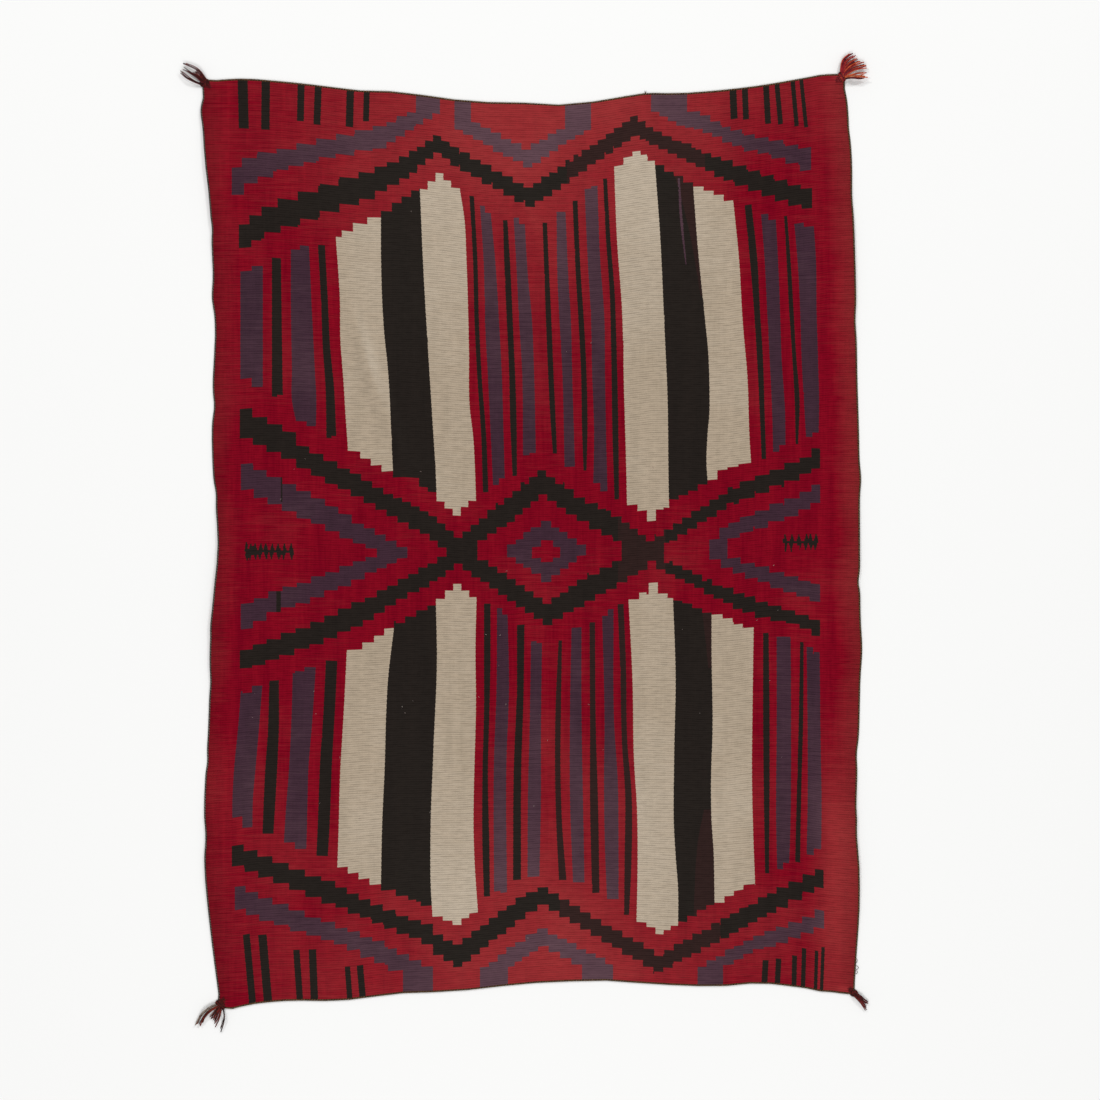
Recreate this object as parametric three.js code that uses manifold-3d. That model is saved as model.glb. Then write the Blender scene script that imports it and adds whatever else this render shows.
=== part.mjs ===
// A handwoven wool rug lying on a floor, in millimetres, +Z up, with the floor at Z = 0 and +Y towards its upper
// end. Its pieces are the tapestry-woven cloth, the twisted cord that binds each of its four edges, and the tassel
// tied from the cord ends at each corner. The uneven outline and the curl of the margins are those of the old rug.
import * as THREE from "three";
import { mergeVertices } from "three/addons/utils/BufferGeometryUtils.js";
import Module from "manifold-3d";

const wasm = await Module();
wasm.setup();

// Driving sizes
const CLOTH_THICKNESS = 2.8;
const CORD_DIAMETER = 3.6;
const FIT_GAP = 0.3; // between pieces that touch

// How finely the cloth is divided along and across, and how much closer its divisions stand at the margins
const CLOTH_COLUMNS = 28;
const CLOTH_ROWS = 44;
const MARGIN_CROWDING = 0.55;

const CORD_SIDES = 6;

const STRAND_THICKNESS = 2.2;
const STRAND_SIDES = 4;
const STRAND_STEPS = 6;
const STRAND_TAPER = 0.45; // the share of its width that a strand loses by its tip
const ROOT_CROWDING = 3; // a lock's roots spread over its fan's degrees, in millimetres, divided by this
const OUTER_SHORTENING = 0.12; // shares of a lock's length
const SECOND_SHORTENING = 0.06;
const KNOT_SIDES = 12;
// A knot's profile as shares of its half width and height: it rests flat, stands upright past the cloth and is domed
const KNOT_PROFILE = [
  { out: 0, up: 0 },
  { out: 0.94, up: 0 },
  { out: 1, up: 0.06 },
  { out: 1, up: 0.42 },
  { out: 0.86, up: 0.74 },
  { out: 0.5, up: 0.95 },
  { out: 0, up: 1 },
];

// The cloth's corners, where the knots sit
const CORNERS = {
  topLeft: { x: -640, y: 917 },
  topRight: { x: 634, y: 929 },
  bottomLeft: { x: -609, y: -926 },
  bottomRight: { x: 658, y: -903 },
};

// The uneven side edges, cords included: how far from the middle line each side stands at a height along the rug
const LEFT_EDGE = [
  { y: -837, x: -621 },
  { y: -757, x: -630.5 },
  { y: -657, x: -639.5 },
  { y: -517, x: -640.5 },
  { y: -357, x: -632 },
  { y: -217, x: -629 },
  { y: -117, x: -622.5 },
  { y: -7, x: -613 },
  { y: 123, x: -622.5 },
  { y: 203, x: -625.5 },
  { y: 323, x: -623.5 },
  { y: 423, x: -619 },
  { y: 563, x: -624.5 },
  { y: 683, x: -630 },
  { y: 763, x: -639 },
  { y: 850, x: -644 },
];
const RIGHT_EDGE = [
  { y: -817, x: 663.5 },
  { y: -737, x: 668.5 },
  { y: -637, x: 667.5 },
  { y: -577, x: 661.5 },
  { y: -497, x: 663 },
  { y: -397, x: 667.5 },
  { y: -237, x: 670.5 },
  { y: -37, x: 669.5 },
  { y: 203, x: 668 },
  { y: 323, x: 664.5 },
  { y: 483, x: 662 },
  { y: 623, x: 658 },
  { y: 723, x: 654.5 },
  { y: 783, x: 652.5 },
  { y: 870, x: 646 },
];

// The uneven end edges, cords included, in the same way
const TOP_EDGE = [
  { x: -570, y: 925 },
  { x: -490, y: 920 },
  { x: -410, y: 911.5 },
  { x: -330, y: 901.5 },
  { x: -250, y: 899 },
  { x: -170, y: 887 },
  { x: -90, y: 879 },
  { x: 0, y: 877 },
  { x: 70, y: 873 },
  { x: 150, y: 881 },
  { x: 230, y: 894 },
  { x: 310, y: 896 },
  { x: 390, y: 902 },
  { x: 470, y: 911.5 },
  { x: 550, y: 925 },
  { x: 600, y: 932.5 },
];
const BOTTOM_EDGE = [
  { x: -590, y: -932 },
  { x: -550, y: -925 },
  { x: -470, y: -917.5 },
  { x: -370, y: -917.5 },
  { x: -250, y: -903 },
  { x: -170, y: -900 },
  { x: -90, y: -894 },
  { x: -10, y: -884 },
  { x: 70, y: -880 },
  { x: 150, y: -877 },
  { x: 270, y: -885 },
  { x: 390, y: -888.5 },
  { x: 470, y: -882.5 },
  { x: 550, y: -891 },
  { x: 620, y: -899.5 },
];

// Where the side margins curl up off the floor: the middle of the curl along the side, half its length, how far in
// from the side it begins, and how high it lifts the edge
const MARGIN_CURLS = [
  { side: "left", y: 725, halfLength: 230, reach: 100, height: 7 },
  { side: "left", y: -110, halfLength: 270, reach: 115, height: 8 },
  { side: "left", y: -640, halfLength: 190, reach: 75, height: 3.5 },
  { side: "right", y: 560, halfLength: 260, reach: 75, height: 4 },
  { side: "right", y: -30, halfLength: 240, reach: 65, height: 3 },
  { side: "right", y: -610, halfLength: 230, reach: 85, height: 5 },
];

// The corner tassels: the way each one points (degrees anticlockwise from +X), the half length, half width and
// height of its knot, and its locks of strands. A lock's root is how far to the left of the knot's middle it leaves,
// its fan is the degrees that its strands' directions spread over, and its bow is how far it bends to its left.
const TASSELS = [
  {
    name: "corner_tassel_top_left",
    corner: "topLeft",
    direction: 138,
    knot: { long: 8, wide: 10.5, height: 9 },
    locks: [
      { strands: 2, root: -7.5, direction: 146, fan: 4, length: 59, bow: -6 },
      { strands: 4, root: -2.5, direction: 139, fan: 9, length: 30, bow: -1 },
      { strands: 3, root: 2, direction: 147, fan: 6, length: 49, bow: -1 },
      { strands: 2, root: 7, direction: 155, fan: 7, length: 43, bow: 1 },
    ],
  },
  {
    name: "corner_tassel_top_right",
    corner: "topRight",
    direction: 38,
    knot: { long: 8.5, wide: 11, height: 12 },
    locks: [
      { strands: 2, root: -7.5, direction: -2, fan: 7, length: 41, bow: 0 },
      { strands: 2, root: -4, direction: 11, fan: 9, length: 47, bow: 0 },
      { strands: 4, root: 0, direction: 30, fan: 15, length: 51, bow: 1 },
      { strands: 3, root: 4, direction: 49, fan: 11, length: 51, bow: 3 },
      { strands: 3, root: 8, direction: 67, fan: 14, length: 43, bow: 5 },
    ],
  },
  {
    name: "corner_tassel_bottom_left",
    corner: "bottomLeft",
    direction: 238,
    knot: { long: 8.5, wide: 12, height: 10 },
    locks: [
      { strands: 4, root: -6, direction: 227, fan: 16, length: 59, bow: 1 },
      { strands: 3, root: 0.5, direction: 242, fan: 8, length: 37, bow: 0 },
      { strands: 2, root: 5.5, direction: 250, fan: 6, length: 42, bow: 2 },
      { strands: 2, root: 9.5, direction: 262, fan: 10, length: 48, bow: 5 },
    ],
  },
  {
    name: "corner_tassel_bottom_right",
    corner: "bottomRight",
    direction: 312,
    knot: { long: 7.5, wide: 8.5, height: 8 },
    locks: [
      { strands: 3, root: -3.5, direction: 301, fan: 12, length: 33, bow: 1 },
      { strands: 3, root: 3.5, direction: 322, fan: 14, length: 25, bow: 0 },
    ],
  },
];

function woolMaterial(color) {
  return new THREE.MeshStandardMaterial({ color, roughness: 0.95, metalness: 0 });
}

function edgeCurve(from, rows, to) {
  const points = [from, ...rows, to].map((row) => new THREE.Vector3(row.x, row.y, 0));
  return new THREE.CatmullRomCurve3(points, false, "centripetal");
}

const EDGES = {
  left: edgeCurve(CORNERS.bottomLeft, LEFT_EDGE, CORNERS.topLeft),
  right: edgeCurve(CORNERS.bottomRight, RIGHT_EDGE, CORNERS.topRight),
  bottom: edgeCurve(CORNERS.bottomLeft, BOTTOM_EDGE, CORNERS.bottomRight),
  top: edgeCurve(CORNERS.topLeft, TOP_EDGE, CORNERS.topRight),
};

function atCorner(name) {
  return new THREE.Vector3(CORNERS[name].x, CORNERS[name].y, 0);
}

// The rug's plan as a patch between its four edges: across and along run from 0 to 1, left to right and bottom to top
function planPoint(across, along) {
  const sides = EDGES.left.getPointAt(along).lerp(EDGES.right.getPointAt(along), across);
  const ends = EDGES.bottom.getPointAt(across).lerp(EDGES.top.getPointAt(across), along);
  const bottom = atCorner("bottomLeft").lerp(atCorner("bottomRight"), across);
  const top = atCorner("topLeft").lerp(atCorner("topRight"), across);
  return sides.add(ends).sub(bottom.lerp(top, along));
}

function widthAt(along) {
  return EDGES.left.getPointAt(along).distanceTo(EDGES.right.getPointAt(along));
}

function heightAt(across) {
  return EDGES.bottom.getPointAt(across).distanceTo(EDGES.top.getPointAt(across));
}

// How high a point of the plan is lifted by the curling margins
function liftAt(across, along) {
  const { y } = planPoint(across, along);
  return MARGIN_CURLS.reduce((lift, curl) => {
    const fromSide = (curl.side === "left" ? across : 1 - across) * widthAt(along);
    const along01 = Math.min(Math.abs(y - curl.y) / curl.halfLength, 1);
    const across01 = Math.max(1 - fromSide / curl.reach, 0);
    const swell = Math.cos((along01 * Math.PI) / 2) ** 2;
    return lift + curl.height * swell * across01 ** 2;
  }, 0);
}

// Spreads even divisions so that they stand closer at both ends
function crowdEnds(fraction) {
  return fraction - (MARGIN_CROWDING * Math.sin(2 * Math.PI * fraction)) / (2 * Math.PI);
}

// Moves every vertex of a geometry by a rule that is given the vertex
function reshape(geometry, rule) {
  const position = geometry.getAttribute("position");
  const vertex = new THREE.Vector3();
  for (let i = 0; i < position.count; i += 1) {
    rule(vertex.fromBufferAttribute(position, i));
    position.setXYZ(i, vertex.x, vertex.y, vertex.z);
  }
  return geometry;
}

function weldedCopy(geometry) {
  const bare = geometry.clone();
  bare.deleteAttribute("normal");
  bare.deleteAttribute("uv");
  return mergeVertices(bare, 1e-4);
}

function toManifold(geometry) {
  const welded = weldedCopy(geometry);
  const vertProperties = new Float32Array(welded.getAttribute("position").array);
  const triVerts = new Uint32Array(welded.index.array);
  return new wasm.Manifold(new wasm.Mesh({ numProp: 3, vertProperties, triVerts }));
}

function toGeometry(solid) {
  const mesh = solid.getMesh();
  const geometry = new THREE.BufferGeometry();
  geometry.setAttribute("position", new THREE.BufferAttribute(mesh.vertProperties, mesh.numProp));
  geometry.setIndex(new THREE.BufferAttribute(mesh.triVerts, 1));
  geometry.computeVertexNormals();
  return geometry;
}

function namedMesh(name, geometry, material) {
  const mesh = new THREE.Mesh(geometry, material);
  mesh.name = name;
  return mesh;
}

// A knot's rounded body, sitting on the floor at its corner, grown by a gap where it is used as a cutter
function knotGeometry(tassel, gap) {
  const { x, y } = CORNERS[tassel.corner];
  const { long, wide, height } = tassel.knot;
  const profile = KNOT_PROFILE.map(({ out, up }) => new THREE.Vector2(out, up));
  return new THREE.LatheGeometry(profile, KNOT_SIDES)
    .rotateX(Math.PI / 2)
    .scale(long + gap, wide + gap, height + 2 * gap)
    .rotateZ(THREE.MathUtils.degToRad(tassel.direction))
    .translate(x, y, -gap);
}

// Cuts the room for the corner knots out of a piece that they are tied round
function clearOfKnots(geometry) {
  const solid = TASSELS.reduce(
    (cut, tassel) => cut.subtract(toManifold(knotGeometry(tassel, FIT_GAP))),
    toManifold(geometry),
  );
  return toGeometry(solid);
}

// Where a fraction of the cloth's own width or height stands on the whole rug's span, cords included
function clothShare(fraction, span) {
  const inset = (CORD_DIAMETER + FIT_GAP) / span;
  return inset + fraction * (1 - 2 * inset);
}

function clothGeometry() {
  const slab = new THREE.BoxGeometry(1, 1, 1, CLOTH_COLUMNS, CLOTH_ROWS, 1);
  return reshape(slab, (vertex) => {
    const acrossInner = crowdEnds(vertex.x + 0.5);
    const alongInner = vertex.y + 0.5;
    const across = clothShare(acrossInner, widthAt(alongInner));
    const along = clothShare(alongInner, heightAt(acrossInner));
    const layer = vertex.z > 0 ? CLOTH_THICKNESS : 0;
    const { x, y } = planPoint(across, along);
    vertex.set(x, y, liftAt(across, along) + layer);
  });
}

// A straight rod that stands along Y from 0 to 1 is bent onto an edge, a cord's half thickness inside the outline
function cordGeometry(edge) {
  const runsAlong = edge === "left" || edge === "right";
  const steps = runsAlong ? CLOTH_ROWS : CLOTH_COLUMNS;
  const radius = CORD_DIAMETER / 2;
  const flatRadius = radius * Math.cos(Math.PI / CORD_SIDES); // to the flat that the cord rests on
  const rod = new THREE.CylinderGeometry(radius, radius, 1, CORD_SIDES, steps, false, Math.PI / 2);
  const farSide = edge === "right" || edge === "top";
  return reshape(rod, (vertex) => {
    const fraction = runsAlong ? vertex.y + 0.5 : crowdEnds(vertex.y + 0.5);
    const station = clothShare(fraction, runsAlong ? heightAt(Number(farSide)) : widthAt(Number(farSide)));
    const span = runsAlong ? widthAt(fraction) : heightAt(fraction);
    const sideways = runsAlong ? vertex.x : -vertex.x; // turning the rod onto an end edge mirrors it otherwise
    const inside = (radius + (farSide ? -sideways : sideways)) / span;
    const offset = farSide ? 1 - inside : inside;
    const [across, along] = runsAlong ? [offset, station] : [station, offset];
    const middle = radius / span;
    const centre = farSide ? 1 - middle : middle;
    const lift = runsAlong ? liftAt(centre, station) : liftAt(station, centre);
    const { x, y } = planPoint(across, along);
    vertex.set(x, y, lift + flatRadius + vertex.z);
  });
}

// The level unit vector that points some degrees anticlockwise from +X
function heading(degrees) {
  const angle = THREE.MathUtils.degToRad(degrees);
  return new THREE.Vector3(Math.cos(angle), Math.sin(angle), 0);
}

// One strand: it leaves the knot, comes down to the floor in its first third and lies level from there to its tip
function strandGeometry(root, direction, length, bow, rootHeight) {
  const forward = heading(direction);
  const leftward = heading(direction + 90);
  const half = STRAND_THICKNESS / 2;
  const flatTurn = Math.PI / STRAND_SIDES; // turns a flat side of the strand to the floor
  const cornerRadius = half / Math.cos(flatTurn);
  const rod = new THREE.CylinderGeometry(cornerRadius, cornerRadius, 1, STRAND_SIDES, STRAND_STEPS, false, flatTurn);
  return reshape(rod, (vertex) => {
    const fraction = vertex.y + 0.5;
    const sideways = bow * Math.sin(fraction * Math.PI) - vertex.x * (1 - STRAND_TAPER * fraction);
    const falling = Math.max(1 - fraction * 3, 0);
    const height = vertex.z + half + (rootHeight - half) * falling;
    vertex.copy(root).addScaledVector(forward, length * fraction).addScaledVector(leftward, sideways).setZ(height);
  });
}

// A lock's strands spread evenly over its fan, the outer ones a little shorter and every second one shorter still
function lockStrands(tassel, lock) {
  const leftward = heading(tassel.direction + 90);
  return Array.from({ length: lock.strands }, (_, i) => {
    const place = i / (lock.strands - 1) - 0.5;
    const root = new THREE.Vector3(CORNERS[tassel.corner].x, CORNERS[tassel.corner].y, 0);
    root.addScaledVector(leftward, lock.root + (place * lock.fan) / ROOT_CROWDING);
    const length = lock.length * (1 - OUTER_SHORTENING * Math.abs(place) - SECOND_SHORTENING * (i % 2));
    return strandGeometry(root, lock.direction + lock.fan * place, length, lock.bow, tassel.knot.height / 2);
  });
}

// A tassel is its knot with the strands of its locks rooted in it
function tasselGeometry(tassel) {
  const strands = tassel.locks.flatMap((lock) => lockStrands(tassel, lock));
  const whole = strands.reduce(
    (solid, strand) => solid.add(toManifold(strand)),
    toManifold(knotGeometry(tassel, 0)),
  );
  return toGeometry(whole);
}

function rug() {
  const group = new THREE.Group();
  group.add(namedMesh("woven_cloth", clearOfKnots(clothGeometry()), woolMaterial("#8a1420")));
  for (const edge of ["left", "right", "bottom", "top"]) {
    const geometry = clearOfKnots(cordGeometry(edge));
    group.add(namedMesh(`${edge}_edge_cord`, geometry, woolMaterial("#3a3228")));
  }
  for (const tassel of TASSELS) {
    group.add(namedMesh(tassel.name, tasselGeometry(tassel), woolMaterial("#5a1c1a")));
  }
  return group;
}

export default rug();
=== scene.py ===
"""Looks of a handwoven wool rug that lies flat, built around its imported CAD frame.

The weaver's chart is written in millimetres on a square of 2.2 m around the rug: x runs to the right from the
square's left side and y runs down the rug from its top side. Shapes in space are in metres, with Z up.
"""

from __future__ import annotations

import logging
import math
import random
from dataclasses import dataclass, field
from enum import Enum
from functools import cached_property

import bpy
import numpy as np
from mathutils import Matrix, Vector

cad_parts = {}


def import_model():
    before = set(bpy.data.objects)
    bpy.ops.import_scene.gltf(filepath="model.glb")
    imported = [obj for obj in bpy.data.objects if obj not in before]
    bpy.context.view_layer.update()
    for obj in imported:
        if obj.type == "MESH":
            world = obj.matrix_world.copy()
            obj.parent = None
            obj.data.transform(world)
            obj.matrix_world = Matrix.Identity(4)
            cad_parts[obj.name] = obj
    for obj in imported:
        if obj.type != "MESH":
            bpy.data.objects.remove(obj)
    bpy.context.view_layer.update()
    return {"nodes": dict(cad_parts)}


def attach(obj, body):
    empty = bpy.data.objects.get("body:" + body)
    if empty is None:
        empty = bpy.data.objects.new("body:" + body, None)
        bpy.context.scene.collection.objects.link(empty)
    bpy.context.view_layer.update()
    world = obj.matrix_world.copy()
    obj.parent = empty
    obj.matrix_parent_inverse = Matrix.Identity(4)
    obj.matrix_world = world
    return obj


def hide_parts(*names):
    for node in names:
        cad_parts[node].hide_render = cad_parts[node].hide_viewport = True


LOG = logging.getLogger("rug")

MM = 0.001
CHART_X = 1049.7  # chart x of the rug's own origin
CHART_Y = 1083.2  # chart y of the rug's own origin

MATH = "ShaderNodeMath"
MIX = "ShaderNodeMix"
NOISE = "ShaderNodeTexNoise"
RANGE = "ShaderNodeMapRange"


@dataclass(frozen=True)
class Weave:
    """The weave, and where the cloth's two faces lie over the floor. Sizes in mm."""

    rib_pitch: float = 4.6  # from one warp to the next
    rib_rise: float = 0.28  # crest over, and valley under, the mean face
    back: float = 0.25  # back face over the floor
    face: float = 2.45  # mean front face over the floor


WEAVE = Weave()


class Yarn(Enum):
    """The dyed and natural wools, in the order of the cloth's material slots."""

    RED = 0
    BLACK = 1
    CREAM = 2
    PURPLE = 3
    UMBER = 4


Stretch = tuple[float, float, Yarn]  # where a colour begins and ends along a rib, as shares, and its yarn


def linear(hex_colour: str) -> tuple[float, float, float, float]:
    """Turns an sRGB hex colour into the linear values that Blender mixes.

    Args:
        hex_colour: Six hex digits.

    Returns:
        Linear red, green, blue and an alpha of 1.
    """
    channels = [int(hex_colour[i : i + 2], 16) / 255 for i in (0, 2, 4)]
    red, green, blue = (c / 12.92 if c <= 0.04045 else ((c + 0.055) / 1.055) ** 2.4 for c in channels)
    return red, green, blue, 1.0


def node(
    tree: bpy.types.NodeTree, kind: str, out: int | str = 0, **values: object
) -> bpy.types.NodeSocket | None:
    """Adds a node and sets it: a socket takes a constant or a link, a property takes its value.

    Args:
        tree: The material's tree.
        kind: The node's type.
        out: Number or name of the output that is wanted.
        values: Sockets by name, with _ for a space, or in_0 for the first one, and properties.

    Returns:
        The wanted output, or None for a node without outputs.
    """
    made = tree.nodes.new(kind)
    for name, value in values.items():
        if hasattr(made, name):
            setattr(made, name, value)
            continue
        key = int(name[3:]) if name.startswith("in_") else name.replace("_", " ")
        socket = made.inputs[key]
        if isinstance(value, bpy.types.NodeSocket):
            tree.links.new(value, socket)
        else:
            socket.default_value = value
    return made.outputs[out] if len(made.outputs) else None


def blank(name: str) -> tuple[bpy.types.Material, bpy.types.NodeTree, bpy.types.NodeSocket]:
    """Makes an empty material.

    Args:
        name: What the material is.

    Returns:
        The material, its tree and its place coordinates in metres.
    """
    material = bpy.data.materials.new(name)
    material.use_nodes = True
    tree = material.node_tree
    tree.nodes.clear()
    return material, tree, node(tree, "ShaderNodeTexCoord", "Object")


def close(tree: bpy.types.NodeTree, **values: object) -> None:
    """Ends a material with a principled surface that has the given values."""
    surface = node(tree, "ShaderNodeBsdfPrincipled", **values)
    node(tree, "ShaderNodeOutputMaterial", Surface=surface)


def grain(
    tree: bpy.types.NodeTree, place: bpy.types.NodeSocket, scale: tuple[float, float, float], detail: float
) -> bpy.types.NodeSocket:
    """Noise whose grain is longer one way than the other, as wefts or warps draw it out.

    Args:
        tree: The material's tree.
        place: Place coordinates in metres.
        scale: Patches to a metre, along each axis.
        detail: How many finer layers lie on it.

    Returns:
        The noise.
    """
    mapped = node(tree, "ShaderNodeMapping", Vector=place, Scale=scale)
    return node(tree, NOISE, Vector=mapped, Scale=1.0, Detail=detail)


@dataclass(frozen=True)
class WoolFinish:
    """Tapestry-woven wool: dye streaks along the wefts, a painted highlight on the rib crests and painted
    shade in the valleys, a bead for each weft.
    """

    name: str
    colour: str
    streak: str
    # The pale colour serves both for real fading and for painted light.
    faded: str
    streaks: float
    sheen: float
    roughness: float = 0.95
    bead: float = 1.15  # mm from one weft to the next along a rib
    fuzz: float = 1500.0  # fibres to a metre

    def material(self) -> bpy.types.Material:
        """Makes the wool's material.

        Returns:
            The material, which reads the cloth's rib attribute, its rib_side attribute and the attribute that
            holds wear and painted light.
        """
        material, tree, place = blank(self.name)
        rib = node(tree, "ShaderNodeAttribute", "Fac", attribute_name="rib")
        odd = node(tree, "ShaderNodeAttribute", "Fac", attribute_name="rib_side")
        wear_and_light = node(tree, "ShaderNodeAttribute", "Fac", attribute_name="wear_and_light")
        # Dye streaks: each weft runs up the rug, so a batch shows as an upright streak 5 to 30 mm wide.
        broad = node(tree, MATH, operation="MULTIPLY", in_0=grain(tree, place, (38, 3.2, 1), 2), in_1=0.55)
        fine = node(tree, MATH, operation="MULTIPLY", in_0=grain(tree, place, (210, 14, 1), 3), in_1=0.45)
        both = node(tree, MATH, operation="ADD", in_0=broad, in_1=fine)
        share = node(tree, RANGE, Value=both, From_Min=0.36, From_Max=0.66, To_Max=self.streaks)
        dyes = {"in_6": linear(self.colour), "in_7": linear(self.streak)}
        colour = node(tree, MIX, 2, data_type="RGBA", in_0=share, **dyes)
        # Rib by rib differences: some warps show through more, in long level lines.
        lined = node(tree, MATH, operation="SUBTRACT", in_0=grain(tree, place, (12, 190, 1), 2), in_1=0.5)
        lined = node(tree, MATH, operation="MULTIPLY", in_0=lined, in_1=0.4)
        patchy = node(tree, MATH, operation="SUBTRACT", in_0=grain(tree, place, (5, 5, 5), 3), in_1=0.56)
        patchy = node(tree, MATH, operation="MULTIPLY", in_0=patchy, in_1=0.7)
        # Mix towards the pale colour: real wear and painted light come from the cloth's attribute of wear and
        # painted light, random fading from the patches and level lines.
        faded = node(tree, MATH, operation="ADD", in_0=wear_and_light, in_1=patchy)
        faded = node(tree, MATH, operation="ADD", use_clamp=True, in_0=faded, in_1=lined)
        colour = node(tree, MIX, 2, data_type="RGBA", in_0=faded, in_6=colour, in_7=linear(self.faded))
        # Painted shade in the valley between two ribs, here deep and there almost closed, and a painted
        # highlight on each crest.
        closed = grain(tree, place, (48, 190, 1), 2)
        valley = node(tree, RANGE, Value=closed, From_Min=0.36, From_Max=0.64, To_Min=0.58, To_Max=0.86)
        painted_rib_shading = node(tree, RANGE, Value=rib, To_Min=valley, To_Max=1.1)
        shade = node(tree, "ShaderNodeVectorMath", operation="SCALE", in_0=colour, Scale=painted_rib_shading)
        # Weft beads stand staggered from one rib to the next, with loose fibres over them.
        across = node(tree, "ShaderNodeSeparateXYZ", Vector=place)
        turns = node(tree, MATH, operation="MULTIPLY", in_0=across, in_1=math.tau / (self.bead * MM))
        stagger = node(tree, MATH, operation="MULTIPLY", in_0=odd, in_1=math.pi)
        turns = node(tree, MATH, operation="ADD", in_0=turns, in_1=stagger)
        beads = node(tree, MATH, operation="SINE", in_0=turns)
        beads = node(tree, MATH, operation="MULTIPLY", in_0=beads, in_1=rib)
        fibres = node(tree, NOISE, Vector=place, Scale=self.fuzz, Detail=3.0)
        fibres = node(tree, MATH, operation="MULTIPLY", in_0=fibres, in_1=1.4)
        relief = node(tree, MATH, operation="ADD", in_0=beads, in_1=fibres)
        bump = node(tree, "ShaderNodeBump", Height=relief, Distance=0.22 * MM, Strength=0.6)
        close(
            tree,
            Base_Color=shade,
            Roughness=self.roughness,
            Sheen_Weight=self.sheen,
            Sheen_Roughness=0.6,
            Specular_IOR_Level=0.01,
            Normal=bump,
        )
        return material


WOOLS = {
    # Cochineal-like red: deep in the middle, lighter and warmer at the margins, partly by fading and partly
    # by painted light.
    Yarn.RED: WoolFinish("red dyed wool", "75051B", "8B0E20", "A43D3B", 0.8, 0.0),
    # Natural black-brown fleece: almost no colour of its own, a dull soft dark.
    Yarn.BLACK: WoolFinish("natural black wool", "231E1B", "2B2420", "2A2622", 0.4, 0.01),
    # Undyed fleece: warm grey-white with the flecks of an uncombed yarn.
    Yarn.CREAM: WoolFinish("undyed cream wool", "B2A18C", "A2937F", "CDC0AE", 0.55, 0.03),
    # Overdyed purple-brown: greys towards the ends.
    Yarn.PURPLE: WoolFinish("purple brown wool", "412A36", "38252F", "6C5058", 0.7, 0.02),
    # Brown-black of a second fleece, redder than the first.
    Yarn.UMBER: WoolFinish("umber wool", "31211F", "281E1C", "372523", 0.5, 0.01),
}


@dataclass(frozen=True)
class YarnFinish:
    """Twisted yarn of mixed fleece: patches of two colours along it and a fine fuzz."""

    name: str
    dark: str
    light: str
    patch: float  # length of a patch in mm
    roughness: float = 0.95
    sheen: float = 0.03
    shine: float = 0.03
    fuzz: float = 2200.0  # fibres to a metre

    def material(self) -> bpy.types.Material:
        """Makes the yarn's material.

        Returns:
            The material.
        """
        material, tree, place = blank(self.name)
        mixed = node(tree, NOISE, Vector=place, Scale=1 / (self.patch * MM), Detail=3.0)
        share = node(tree, RANGE, Value=mixed, From_Min=0.38, From_Max=0.62)
        dyes = {"in_6": linear(self.dark), "in_7": linear(self.light)}
        colour = node(tree, MIX, 2, data_type="RGBA", in_0=share, **dyes)
        fibres = node(tree, NOISE, Vector=place, Scale=self.fuzz, Detail=3.0)
        bump = node(tree, "ShaderNodeBump", Height=fibres, Distance=0.2 * MM, Strength=0.7)
        close(
            tree,
            Base_Color=colour,
            Roughness=self.roughness,
            Sheen_Weight=self.sheen,
            Specular_IOR_Level=self.shine,
            Normal=bump,
        )
        return material


def paper() -> bpy.types.Material:
    """Makes the pale seamless paper of the studio floor, dull with hardly a shine.

    Returns:
        The material.
    """
    material, tree, _ = blank("studio paper")
    close(tree, Base_Color=linear("F3F3F2"), Roughness=0.95, Specular_IOR_Level=0.1)
    return material


@dataclass(frozen=True)
class Drift:
    """The side of a stripe, written as (y, x) stations that a smooth line runs through."""

    stations: tuple[tuple[float, float], ...]

    @cached_property
    def line(self) -> tuple[np.ndarray, np.ndarray]:
        """Dense samples of the smooth line.

        Returns:
            The samples' y and x.
        """
        ys = np.array([s[0] for s in self.stations], float)
        xs = np.array([s[1] for s in self.stations], float)
        slopes = np.gradient(xs, ys)
        dense_y, dense_x = [], []
        for i in range(len(ys) - 1):
            t = np.linspace(0, 1, 12, endpoint=False)
            span = ys[i + 1] - ys[i]
            rise = (2 * t**3 - 3 * t**2 + 1) * xs[i] + (3 * t**2 - 2 * t**3) * xs[i + 1]
            lean = (t**3 - 2 * t**2 + t) * span * slopes[i] + (t**3 - t**2) * span * slopes[i + 1]
            dense_y.append(ys[i] + t * span)
            dense_x.append(rise + lean)
        return np.append(np.concatenate(dense_y), ys[-1]), np.append(np.concatenate(dense_x), xs[-1])

    def at(self, y: float) -> float:
        """The line's x at a chart height, held past its two ends."""
        return float(np.interp(y, *self.line))


@dataclass(frozen=True)
class Stair:
    """A stepped edge as a weaver counts it: knees of (x, y, steps since the knee before)."""

    knees: tuple[tuple[float, float, int], ...]

    @cached_property
    def steps(self) -> tuple[np.ndarray, np.ndarray]:
        """The steps between the knees.

        Returns:
            The x where each step ends, and every step's height.
        """
        centres, heights = [self.knees[0][0]], [self.knees[0][1]]
        for (x0, y0, _), (x1, y1, count) in zip(self.knees, self.knees[1:]):
            for k in range(1, count + 1):
                centres.append(x0 + (x1 - x0) * k / count)
                heights.append(y0 + (y1 - y0) * k / count)
        middles = np.array(centres)
        return (middles[:-1] + middles[1:]) / 2, np.array(heights)

    def at(self, x: float) -> float:
        """Height of the step at a chart x."""
        ends, heights = self.steps
        return float(heights[int(np.searchsorted(ends, x))])


def level(y: float) -> Stair:
    """An edge without steps."""
    return Stair(((0.0, y, 0),))


TOP_END = level(0.0)
BOTTOM_END = level(2200.0)


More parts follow.
